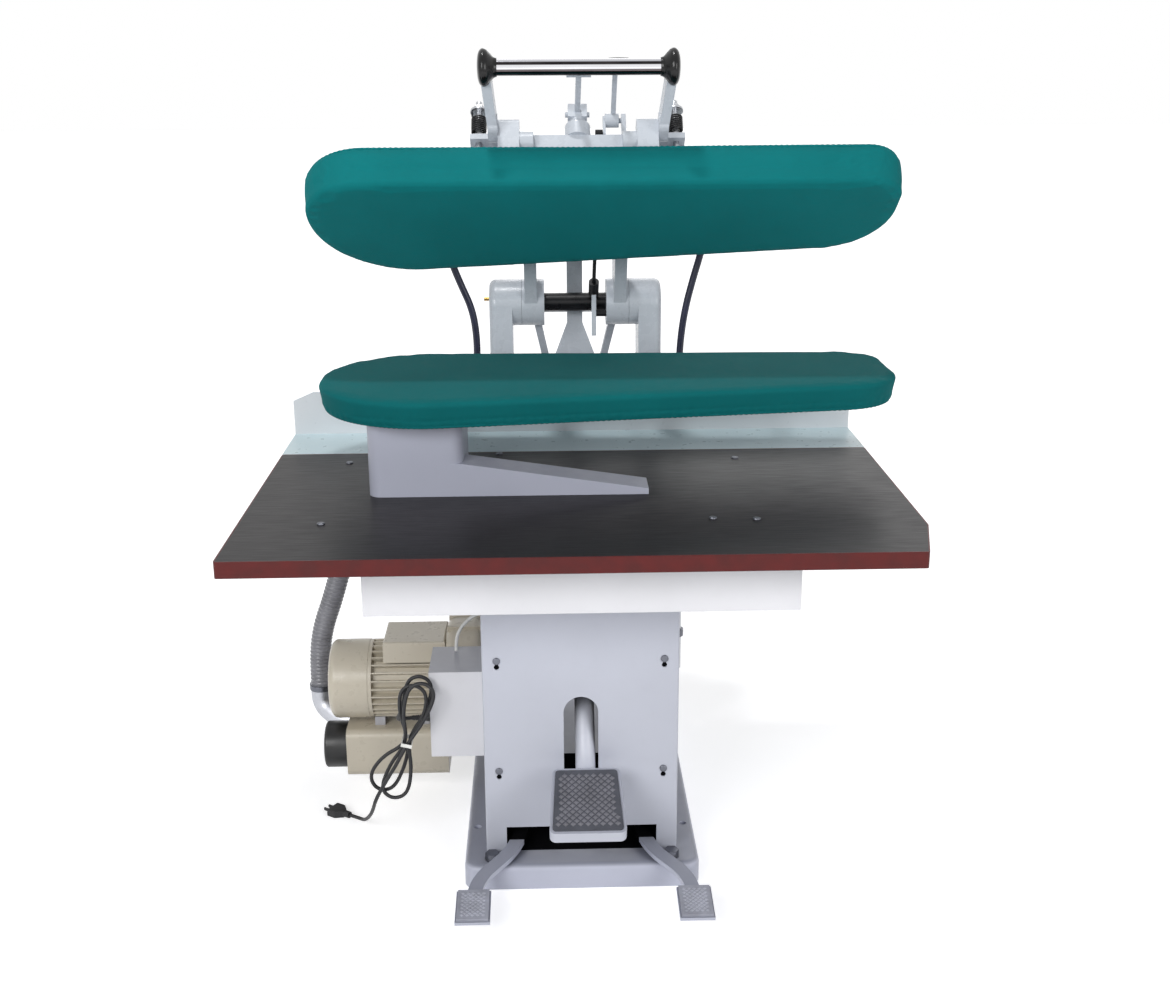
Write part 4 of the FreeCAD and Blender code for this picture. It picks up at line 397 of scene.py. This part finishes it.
def woven(name, colour, tilt):
    """Tight plain weave: threads over and under, slubs, and a soft sheen."""
    thread_rate = 4200.0  # radians in a metre, for a thread every 1.5 mm
    made, tree, shader = begin(name)
    shader.inputs["Sheen Weight"].default_value = 0.04
    shader.inputs["Sheen Roughness"].default_value = 0.45
    shader.inputs["Sheen Tint"].default_value = rgb(110, 215, 210)
    shader.inputs["Specular IOR Level"].default_value = 0.12
    place = place_in(tree, tilt=tilt)
    axes = add(tree, "SeparateXYZ", [("Vector", place)])
    warp_at = add(tree, "Math", [(0, axes.outputs["Y"]), (1, 0.35), (2, axes.outputs["X"])],
                  operation="MULTIPLY_ADD").outputs["Value"]
    weft_at = add(tree, "Math", [(0, axes.outputs["Y"]), (1, axes.outputs["Z"])],
                  operation="ADD").outputs["Value"]
    threads = []
    for run in (warp_at, weft_at):
        turn = add(tree, "Math", [(0, run), (1, thread_rate)], operation="MULTIPLY").outputs["Value"]
        threads.append(add(tree, "Math", [(0, turn)], operation="SINE").outputs["Value"])
    weave = add(tree, "Math", [(0, threads[0]), (1, threads[1])], operation="MULTIPLY").outputs["Value"]
    weave = between(tree, weave, 0.0, 1.0, -1.0, 1.0)
    slub = cloud(tree, place_in(tree, (60, 900, 900), tilt), 1.0, 3.0)
    body = cloud(tree, place, 7.0, 4.0)
    tone = ramp(tree, body, [(0.3, shade(colour, 0.93)), (0.7, shade(colour, 1.06))])
    tone = mix(tree, between(tree, weave, 0.28, 0.0, 0.0, 0.8), tone, shade(colour, 0.45))
    tone = mix(tree, between(tree, slub, 0.0, 0.3, 0.5, 0.8), tone, shade(colour, 1.35))
    tree.links.new(tone, shader.inputs["Base Color"])
    tree.links.new(between(tree, slub, 0.72, 0.9), shader.inputs["Roughness"])
    relief(tree, shader, weave, 0.00025)
    return made


def chrome(name):
    """Polished bar whose colour holds painted reflections: the dark and bright stripes of a studio, from its
    top round to its underside.
    """
    made, tree, shader = begin(name)
    shader.inputs["Metallic"].default_value = 1.0
    # Painted reflection: the base colour runs through dark and bright stripes with the world-space height of
    # the normal.
    normal = add(tree, "SeparateXYZ", [("Vector", add(tree, "NewGeometry").outputs["Normal"])])
    level = between(tree, normal.outputs["Z"], 0.0, 1.0, -1.0, 1.0)
    bright = rgb(236, 236, 240)
    dark = rgb(26, 23, 25)
    painted_reflection_stripes = ramp(tree, level, [(0.06, dark), (0.3, rgb(92, 84, 86)), (0.36, rgb(70, 64, 66)), (0.42, bright),
                               (0.62, bright), (0.67, dark), (0.8, dark), (0.86, rgb(190, 191, 197)),
                               (1.0, bright)])
    stains = cloud(tree, place_in(tree), 24.0, 5.0)
    tone = mix(tree, between(tree, stains, 0.0, 0.12), painted_reflection_stripes, rgb(150, 146, 146))
    tree.links.new(tone, shader.inputs["Base Color"])
    lines = cloud(tree, place_in(tree, (20, 1, 1)), 60.0, 4.0)
    tree.links.new(between(tree, lines, 0.06, 0.13), shader.inputs["Roughness"])
    relief(tree, shader, lines, 0.000004)
    return made


def laminate(name, colour):
    """Dark board: fine streaks along its length, pinpoint speckle and a satin face."""
    made, tree, shader = begin(name)
    shader.inputs["Specular IOR Level"].default_value = 0.2
    streak = cloud(tree, place_in(tree, (6, 90, 90)), 3.0, 6.0)
    speck = cloud(tree, place_in(tree), 800.0, 2.0)
    tone = ramp(tree, streak, [(0.3, shade(colour, 0.8)), (0.7, shade(colour, 1.25))])
    tone = mix(tree, between(tree, speck, 0.0, 0.35, 0.55, 0.72), tone, shade(colour, 2.2))
    tree.links.new(tone, shader.inputs["Base Color"])
    tree.links.new(between(tree, streak, 0.34, 0.46), shader.inputs["Roughness"])
    relief(tree, shader, speck, 0.00005, 0.001)
    return made


teal = rgb(10, 118, 121)
# Painted shade: the buck's cloth is the head's teal darkened by a quarter, for the shade that falls on the
# buck's top.
shaded_buck_teal = shade(teal, 0.75)
finishes = {
    # Painted shade: the base's level faces are darker, and its faces inside the column room are nearly
    # black.
    "base_grey": paint("base_enamel", rgb(190, 193, 208), 0.38, 0.4, top=rgb(140, 143, 156),
                       dark=column_shade_room),
    # Painted shade: the pedal's level faces are darker.
    "pedal_grey": paint("pedal_enamel", rgb(204, 207, 218), 0.36, 0.4, top=rgb(168, 171, 184)),
    # Painted shade: the column's faces inside its room are nearly black.
    "column_white": paint("column_enamel", rgb(190, 193, 204), 0.36, dark=column_shade_room),
    # Painted shade: the box lid's level faces are grey.
    "tray_white": paint("tray_enamel", rgb(230, 230, 234), 0.34, top=rgb(160, 161, 168)),
    # Painted reflection: the shelf's level faces take a bluish tint.
    "shelf_white": paint("shelf_enamel", rgb(224, 228, 232), 0.32, top=rgb(204, 226, 232)),
    "neck_grey": paint("neck_enamel", rgb(172, 175, 190), 0.36, 0.35),
    "gear_white": paint("gear_enamel", rgb(192, 198, 206), 0.27, 0.4, 0.0002),
    "beige": paint("blower_enamel", rgb(202, 194, 177), 0.3, 0.35, 0.00018),
    "bracket_grey": paint("bracket_enamel", rgb(178, 178, 184), 0.4),
    "black_steel": paint("black_enamel", rgb(22, 22, 25), 0.3, 0.05, 0.00003, shine=0.3),
    "table_dark": laminate("table_laminate", rgb(23, 20, 22)),
    "edge_red": moulded("edge_banding", rgb(84, 25, 24), 0.36, 300.0, 0.00001, 0.0012, 0.25),
    "teal_fabric": woven("buck_weave", shaded_buck_teal, 0.0),
    "steel": metal("drawn_steel", rgb(190, 192, 196), 0.3, (1, 8, 8)),
    "chrome": chrome("bright_chrome"),
    "black_gloss": moulded("knob_gloss", rgb(14, 14, 15), 0.17, 60.0, 0.00001, shine=0.3),
    "pad_rubber": moulded("pedal_rubber_grain", rgb(78, 80, 88), 0.6, 700.0, 0.0001),
    "black_rubber": moulded("lead_rubber", rgb(24, 24, 27), 0.48, 600.0, 0.00004),
    "black_plastic": moulded("cap_plastic", rgb(22, 22, 23), 0.38),
    "brass": metal("turned_brass", rgb(196, 160, 92), 0.28, (6, 6, 1)),
    "aluminium": metal("cast_aluminium", rgb(190, 192, 198), 0.42, (1, 1, 1), 240.0, 0.0001),
    "white_plastic": moulded("lead_white", rgb(232, 232, 228), 0.42),
}
head_weave = woven("head_weave", teal, open_angle)
hose_rubber = moulded("steam_hose_rubber", rgb(22, 25, 52), 0.42, 500.0, 0.00006)
hose_plastic = moulded("suction_hose_plastic", rgb(132, 132, 138), 0.28, 300.0, 0.00003)
for node in nodes.values():
    for holder in node.material_slots:
        holder.material = finishes[holder.material.name]
dull_steel = metal("dull_screw_steel", rgb(112, 114, 122), 0.36, (1, 1, 1), 240.0)
small_rubber = moulded("small_pad_grain", rgb(158, 160, 172), 0.5, 700.0, 0.0001)
tread_rubber = moulded("worn_tread", rgb(112, 112, 120), 0.5, 700.0, 0.00008)
small_worn = moulded("worn_small_tread", rgb(176, 178, 190), 0.46, 700.0, 0.00008)
nodes["fasteners"].material_slots[0].material = dull_steel
for word in ("left", "right"):
    nodes[word + "_small_pad"].material_slots[0].material = small_rubber


def dress(piece, material):
    piece.data.materials.clear()
    piece.data.materials.append(material)


# Power cord in its hank, the white motor lead, and the hoses

def hank_points():
    """Turns of the hank in one leaning plane, each a little in front of the last."""
    rise = Vector((math.sin(hank_lean), 0, math.cos(hank_lean)))
    right = Vector((math.cos(hank_lean), 0, -math.sin(hank_lean)))
    turns = [top + bottom for top, bottom in zip(hank_tops, hank_bottoms + [[]])]
    points = []
    for turn, loop in enumerate(turns):
        for i, (across, up) in enumerate(loop):
            layer = Vector((0, -hank_step * (turn + i / len(turns[0])), 0))
            points.append(hank_middle + right * across + rise * up + layer)
    return points


def strain_relief(name, start, heading, length, root, tip):
    """Tapered sleeve with moulded rings, plain at its two ends."""
    steps = 48
    ring_count = 6
    ring_height = 0.0005
    ringed_from = 0.08
    ringed_to = 0.95
    path = [start + heading * (length * i / steps) for i in range(steps + 1)]

    def radius_at(run):
        share = run / length
        ring = ring_height * (1 if math.sin(share * 2 * math.pi * ring_count) > 0 else -1)
        return root + (tip - root) * share + (ring if ringed_from < share < ringed_to else 0)
    return sweep(name, path, radius_at, 28)


cord_route = metres([gland_mouth] + cord_lead + hank_points() + cord_tail + [plug_mouth])
power_cord = spline("power_cord", cord_route, cord_radius, 12)
dress(power_cord, finishes["black_rubber"])
sleeve = strain_relief("cord_sleeve", cord_route[0], Vector((-1, 0, 0)), sleeve_length, sleeve_root,
                       sleeve_tip)
dress(sleeve, finishes["black_rubber"])
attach(power_cord, "frame")
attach(sleeve, "frame")
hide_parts("cord_lead", "cord_hank", "cord_tail")
cord_length = length_of(centreline(cord_route, 12))

control_points = metres(control_route)
control_lead = spline("motor_lead", control_points, control_radius, 16)
dress(control_lead, finishes["white_plastic"])
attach(control_lead, "frame")
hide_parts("control_lead")
length_of(centreline(control_points, 16))


def ribbed(run):
    wave = 0.5 + 0.5 * math.cos(2 * math.pi * run / vacuum_pitch)
    return vacuum_valley + (vacuum_rib - vacuum_valley) * wave ** 0.6


vacuum_path = centreline(metres(vacuum_route), 72)
vacuum_hose = sweep("suction_hose", vacuum_path, ribbed, 40)
dress(vacuum_hose, hose_plastic)
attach(vacuum_hose, "frame")
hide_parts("vacuum_hose")

for side, port, bends in (("left", left_port, left_bends), ("right", right_port, right_bends)):
    route = [port, port + steam_heading * steam_straight] + [Vector(bend) for bend in bends]
    path = centreline(metres(route), 18)
    hose = sweep(side + "_steam_hose", path, lambda run: steam_radius, 24)
    dress(hose, hose_rubber)
    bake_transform(hose)
    if side == "left":
        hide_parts("steam_hoses")

springs = show("counter_spring_coils", nodes["counter_springs"].data.copy())
dress(springs, finishes["steel"])
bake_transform(springs)
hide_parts("counter_springs")


# Moulded caps on the handle's ends, and the steam lever's grip

def rounded(profile, steps):
    """Smooth line through the points of a profile."""
    ends = [profile[0]] + profile + [profile[-1]]
    made = []
    for a, b, c, d in zip(ends, ends[1:], ends[2:], ends[3:]):
        for i in range(steps):
            t = i / steps
            made.append(tuple(0.5 * (2 * q + (r - p) * t + (2 * p - 5 * q + 4 * r - s) * t * t
                                     + (3 * q - p - 3 * r + s) * t ** 3) for p, q, r, s in zip(a, b, c, d)))
    return made + [profile[-1]]


def lathe(name, turnings, sides=56):
    """Bodies turned about lines along X: for each a start, a way, an axis and a profile in millimetres."""
    mesh = bpy.data.meshes.new(name)
    work = bmesh.new()
    for start, way, (y, z), profile in turnings:
        rings = []
        for along, radius in profile:
            x = start + way * along / 1000
            reach = radius / 1000
            turns = [2 * math.pi * j / sides for j in range(sides)]
            rings.append([work.verts.new((x, y + reach * math.cos(t), z + reach * math.sin(t)))
                          for t in turns])
        for near, far in zip(rings, rings[1:]):
            for j in range(sides):
                work.faces.new((near[j], near[(j + 1) % sides], far[(j + 1) % sides], far[j]))
        work.faces.new(rings[0])
        work.faces.new(rings[-1])
    bmesh.ops.recalc_face_normals(work, faces=work.faces)
    work.to_mesh(mesh)
    work.free()
    smooth(mesh)
    return show(name, mesh)


caps = lathe("handle_caps", [(start, way, knob_axis, rounded(knob_profile, 6)) for start, way in knob_inner])
dress(caps, finishes["black_gloss"])
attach(caps, "yoke")
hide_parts("handle_knobs")

grip_length = (grip_ends[1] - grip_ends[0]) * 1000
grip_profile = [(0, 0.5), (0.5, 3.4), (2, 4.7), (5, 5.2), (grip_length / 2, 5.6), (grip_length - 5, 5.2),
                (grip_length - 2, 4.7), (grip_length - 0.5, 3.4), (grip_length, 0.5)]
grip = lathe("steam_grip", [(grip_ends[0], 1, grip_axis, rounded(grip_profile, 4))], 28)
dress(grip, finishes["black_plastic"])
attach(grip, "steam_lever")


# Padded head and buck

def rim_of(points, face):
    """Outline round a set of points, seen along the face's direction."""
    side = Vector((1, 0, 0))
    across = face.cross(side)
    flat = sorted({(round(p.dot(side), 5), round(p.dot(across), 5)) for p in points})

    def half(run):
        hull = []
        for q in run:
            while len(hull) > 1 and ((hull[-1][0] - hull[-2][0]) * (q[1] - hull[-2][1])
                                     - (hull[-1][1] - hull[-2][1]) * (q[0] - hull[-2][0])) <= 0:
                hull.pop()
            hull.append(q)
        return hull[:-1]
    level = sum(p.dot(face) for p in points) / len(points)
    return [side * a + across * b + face * level for a, b in half(flat) + half(flat[::-1])]


def even(path, step):
    """Closed outline with points a step apart."""
    made = []
    for a, b in zip(path, path[1:] + path[:1]):
        count = max(1, round((b - a).length / step))
        made += [a.lerp(b, i / count) for i in range(count)]
    return made


def stuff(name, node, body, face, material):
    """Padded cover: the CAD pad swollen at its sides, drawn in at its hem, no higher than its face."""
    pad = show(name, nodes[node].data.copy())
    bpy.context.view_layer.objects.active = pad
    pad.data.remesh_voxel_size = pad_voxel
    bpy.ops.object.voxel_remesh()
    mesh = pad.data
    low = min(v.co.dot(face) for v in mesh.vertices)
    middle = sum((v.co for v in mesh.vertices), Vector()) / len(mesh.vertices)
    normals = [v.normal.copy() for v in mesh.vertices]
    outer = []
    for vertex, normal in zip(mesh.vertices, normals):
        flat = normal - face * normal.dot(face)
        away = (vertex.co - middle).dot(flat)
        outer.append(normal.dot(face) > 0.5 or (away > 0 and normal.dot(face) > -0.75))
    held = pad.vertex_groups.new(name="held")
    for vertex, is_outer in zip(mesh.vertices, outer):
        if not is_outer or vertex.co.dot(face) < low + held_height:
            held.add([vertex.index], 1.0, "REPLACE")
    rest = [v.co.copy() for v in mesh.vertices]
    for vertex, normal, is_outer in zip(mesh.vertices, normals, outer):
        if is_outer:
            vertex.co -= normal * pad_swell / 2
    swell(pad, held.name)
    gather(pad, rest, outer, face, low)
    top = max(place.dot(face) for place in rest)
    for vertex in mesh.vertices:
        vertex.co -= face * max(0, vertex.co.dot(face) - top)
    pad.modifiers.new("finer", "SUBSURF").levels = 1
    graph = bpy.context.evaluated_depsgraph_get()
    pad.data = bpy.data.meshes.new_from_object(pad.evaluated_get(graph))
    pad.modifiers.clear()
    smooth(pad.data)
    dress(pad, material)
    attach(pad, body)
    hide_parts(node)


def swell(pad, held):
    """Cloth filled from inside, with each point's travel capped."""
    last_frame = 20
    start = [v.co.copy() for v in pad.data.vertices]
    cloth = pad.modifiers.new("filling", "CLOTH")
    cloth.settings.use_pressure = True
    cloth.settings.uniform_pressure_force = 4.0
    cloth.settings.tension_stiffness = 12.0
    cloth.settings.compression_stiffness = 12.0
    cloth.settings.vertex_group_mass = held
    cloth.settings.effector_weights.gravity = 0.0
    cloth.settings.quality = 4
    for number in range(1, last_frame + 1):
        scene.frame_set(number)
    shaped = bpy.data.meshes.new_from_object(pad.evaluated_get(bpy.context.evaluated_depsgraph_get()))
    moved = [v.co.copy() for v in shaped.vertices]
    pad.modifiers.clear()
    bpy.data.meshes.remove(shaped)
    scene.frame_set(1)
    for vertex, before, after in zip(pad.data.vertices, start, moved):
        travel = after - before
        if travel.length > pad_swell:
            travel *= pad_swell / travel.length
        vertex.co = before + travel


def gather(pad, rest, outer, face, low):
    """Small folds where the drawcord pulls the cover's hem in."""
    rim = even(rim_of([p for p in rest if p.dot(face) < low + rim_step], face), rim_step)
    tree = KDTree(len(rim))
    for i, point in enumerate(rim):
        tree.insert(point, i)
    tree.balance()
    for vertex, place, is_outer in zip(pad.data.vertices, rest, outer):
        height = place.dot(face) - low
        if not is_outer or height > fold_reach:
            continue
        _, index, _ = tree.find(place)
        run = index * rim_step
        wander = 2.2 * noise.noise(place * 14)
        fold = math.sin(2 * math.pi * run / fold_pitch + wander)
        vertex.co += vertex.normal * (fold_height * fold * (1 - height / fold_reach) ** 1.5)


def hem(name, node, body, face, material):
    """Drawcord channel round the cover's back edge."""
    points = [v.co for v in nodes[node].data.vertices]
    low = min(p.dot(face) for p in points)
    rim = even(rim_of([p for p in points if p.dot(face) < low + hem_depth], face), hem_step)
    middle = sum(rim, Vector()) / len(rim)
    path = [p + (middle - p).normalized() * hem_inset + face * hem_lift for p in rim]

    def radius_at(run):
        return hem_radius + hem_ripple * math.sin(2 * math.pi * run / hem_pitch)
    ring = sweep(name, path, radius_at, 14, closed=True)
    dress(ring, material)
    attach(ring, body)


stuff("buck_cover", "buck_pad", "frame", buck_face, finishes["teal_fabric"])
stuff("head_cover_cloth", "head_pad", "yoke", head_face, head_weave)
hem("buck_hem", "buck_pad", "frame", buck_face, finishes["teal_fabric"])
hem("head_hem", "head_pad", "yoke", head_face, head_weave)


# Tread on the pedals

def tread(name, body, corner, along, across, keep, pitch, height, material):
    """Rows of raised diamonds on a flat pad, kept where keep says they fit."""
    up = across.cross(along).normalized()
    mesh = bpy.data.meshes.new(name)
    work = bmesh.new()
    half = pitch * 0.43
    sunk = 0.0003
    steps = ((half, -sunk), (half * 0.8, height * 0.5), (half * 0.34, height))
    reach = 40
    for row in range(-reach, reach + 1):
        for column in range(-reach, reach + 1):
            if (row + column) % 2:
                continue
            u = column * pitch / 2
            v = row * pitch / 2
            if not keep(u, v, half):
                continue
            rings = []
            for size, level in steps:
                spots = ((size, 0), (0, size), (-size, 0), (0, -size))
                rings.append([work.verts.new(corner + across * (u + a) + along * (v + b) + up * level)
                              for a, b in spots])
            for near, far in zip(rings, rings[1:]):
                for j in range(4):
                    work.faces.new((near[j], near[(j + 1) % 4], far[(j + 1) % 4], far[j]))
            work.faces.new(rings[-1])
    bmesh.ops.recalc_face_normals(work, faces=work.faces)
    work.to_mesh(mesh)
    work.free()
    made = show(name, mesh)
    dress(made, material)
    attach(made, body)


def on_pedal(u, v, half):
    """Whether a diamond fits on the main pedal, which narrows to its rear."""
    long_half = (pedal_rear - pedal_front).length / 2 - pedal_end_margin
    share = (v + long_half) / (2 * long_half)
    wide = pedal_front_half + (pedal_rear_half - pedal_front_half) * share - pad_side_margin
    return abs(v) + half < long_half and abs(u) + half < wide


slope = (pedal_rear - pedal_front).normalized()
tread("pedal_tread", "pedal", (pedal_front + pedal_rear) / 2, slope, Vector((1, 0, 0)), on_pedal,
      *pedal_diamond, tread_rubber)


def small_tread(word, body):
    """Tread on one small pad, on the face that tilts back."""
    low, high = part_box(word + "_small_pad")
    along = Vector((0, math.cos(small_pad_tilt), math.sin(small_pad_tilt)))
    up = Vector((0, -math.sin(small_pad_tilt), math.cos(small_pad_tilt)))
    points = [v.co for v in nodes[word + "_small_pad"].data.vertices]
    level = max(p.dot(up) for p in points)
    middle = (low + high) / 2
    top = middle + up * (level - middle.dot(up))

    def fits(u, v, half):
        wide, long = small_pad_half
        return abs(u) + half < wide - pad_side_margin and abs(v) + half < long - pad_side_margin
    tread(word + "_small_tread", body, top, along, Vector((1, 0, 0)), fits, *small_diamond, small_worn)


small_tread("left", "vacuum_pedal")
small_tread("right", "steam_pedal")


# Floor, light and camera

def floor():
    """Pale floor just under the feet, white to the eye further out."""
    half_width = 30
    gap = 0.0005
    mesh = bpy.data.meshes.new("floor")
    work = bmesh.new()
    bmesh.ops.create_grid(work, x_segments=1, y_segments=1, size=half_width)
    work.to_mesh(mesh)
    work.free()
    made = show("floor", mesh)
    made.location.z = -gap
    material, tree, shader = begin("pale_floor")
    place = place_in(tree)
    tone = ramp(tree, cloud(tree, place, 1.2), [(0.3, rgb(238, 239, 241)), (0.7, rgb(243, 243, 245))])
    tree.links.new(tone, shader.inputs["Base Color"])
    shader.inputs["Roughness"].default_value = 0.7
    shader.inputs["Specular IOR Level"].default_value = 0.1
    shader.inputs["Emission Color"].default_value = (1, 1, 1, 1)
    away = add(tree, "VectorMath", [(0, place)], operation="LENGTH").outputs["Value"]
    seen = between(tree, away, 0.55, 1.0, 0.6, 2.8)
    tree.links.new(seen_white(tree, 0.0, seen), shader.inputs["Emission Strength"])
    mesh.materials.append(material)


def seen_white(tree, lighting, seen):
    """One strength for light on the object, another for what is seen or mirrored."""
    path = add(tree, "LightPath").outputs
    any_of = add(tree, "Math", [(0, path["Is Camera Ray"]), (1, path["Is Glossy Ray"])],
                 operation="MAXIMUM").outputs["Value"]
    any_of = add(tree, "Math", [(0, any_of), (1, path["Is Transmission Ray"])],
                 operation="MAXIMUM").outputs["Value"]
    return between(tree, any_of, lighting, seen, 0.0, 1.0)


def lamp(name, place, aim, size, power):
    light = bpy.data.lights.new(name, "AREA")
    light.shape = "RECTANGLE"
    light.size, light.size_y = size
    light.energy = power
    made = show(name, light)
    made.location = place
    made.rotation_euler = (Vector(aim) - Vector(place)).to_track_quat("-Z", "Y").to_euler()


def studio():
    world = bpy.data.worlds.new("studio")
    scene.world = world
    world.use_nodes = True
    back = world.node_tree.nodes["Background"]
    back.inputs["Color"].default_value = (1, 1, 1, 1)
    world.node_tree.links.new(seen_white(world.node_tree, 0.24, 1.0), back.inputs["Strength"])
    lamp("overhead", (-0.45, -0.22, 3.8), (0.05, -0.12, 0.9), (0.22, 0.22), 27)
    lamp("front_left", (-1.9, -3.3, 2.3), (0, 0, 0.75), (2.0, 1.6), 82)
    lamp("front_right", (2.2, -2.6, 1.7), (0, 0, 0.7), (1.6, 1.6), 38)
    lamp("behind", (0.6, 2.8, 2.4), (0, 0, 0.9), (1.8, 1.4), 12)


def photo_camera():
    lens = bpy.data.cameras.new("camera")
    lens.sensor_fit = "HORIZONTAL"
    lens.sensor_width = sensor_width
    lens.lens = sensor_width * photo_focal / photo_width
    lens.clip_start = 0.05
    made = show("camera", lens)
    turn = Matrix.Rotation(math.radians(camera_yaw), 4, "Z")
    pitch = Matrix.Rotation(math.radians(90 - camera_pitch), 4, "X")
    roll = Matrix.Rotation(math.radians(camera_roll), 4, "Z")
    made.matrix_world = Matrix.Translation(camera_place) @ turn @ pitch @ roll
    scene.camera = made


floor()
studio()
photo_camera()
scene.view_settings.view_transform = "Standard"

bpy.context.view_layer.update()
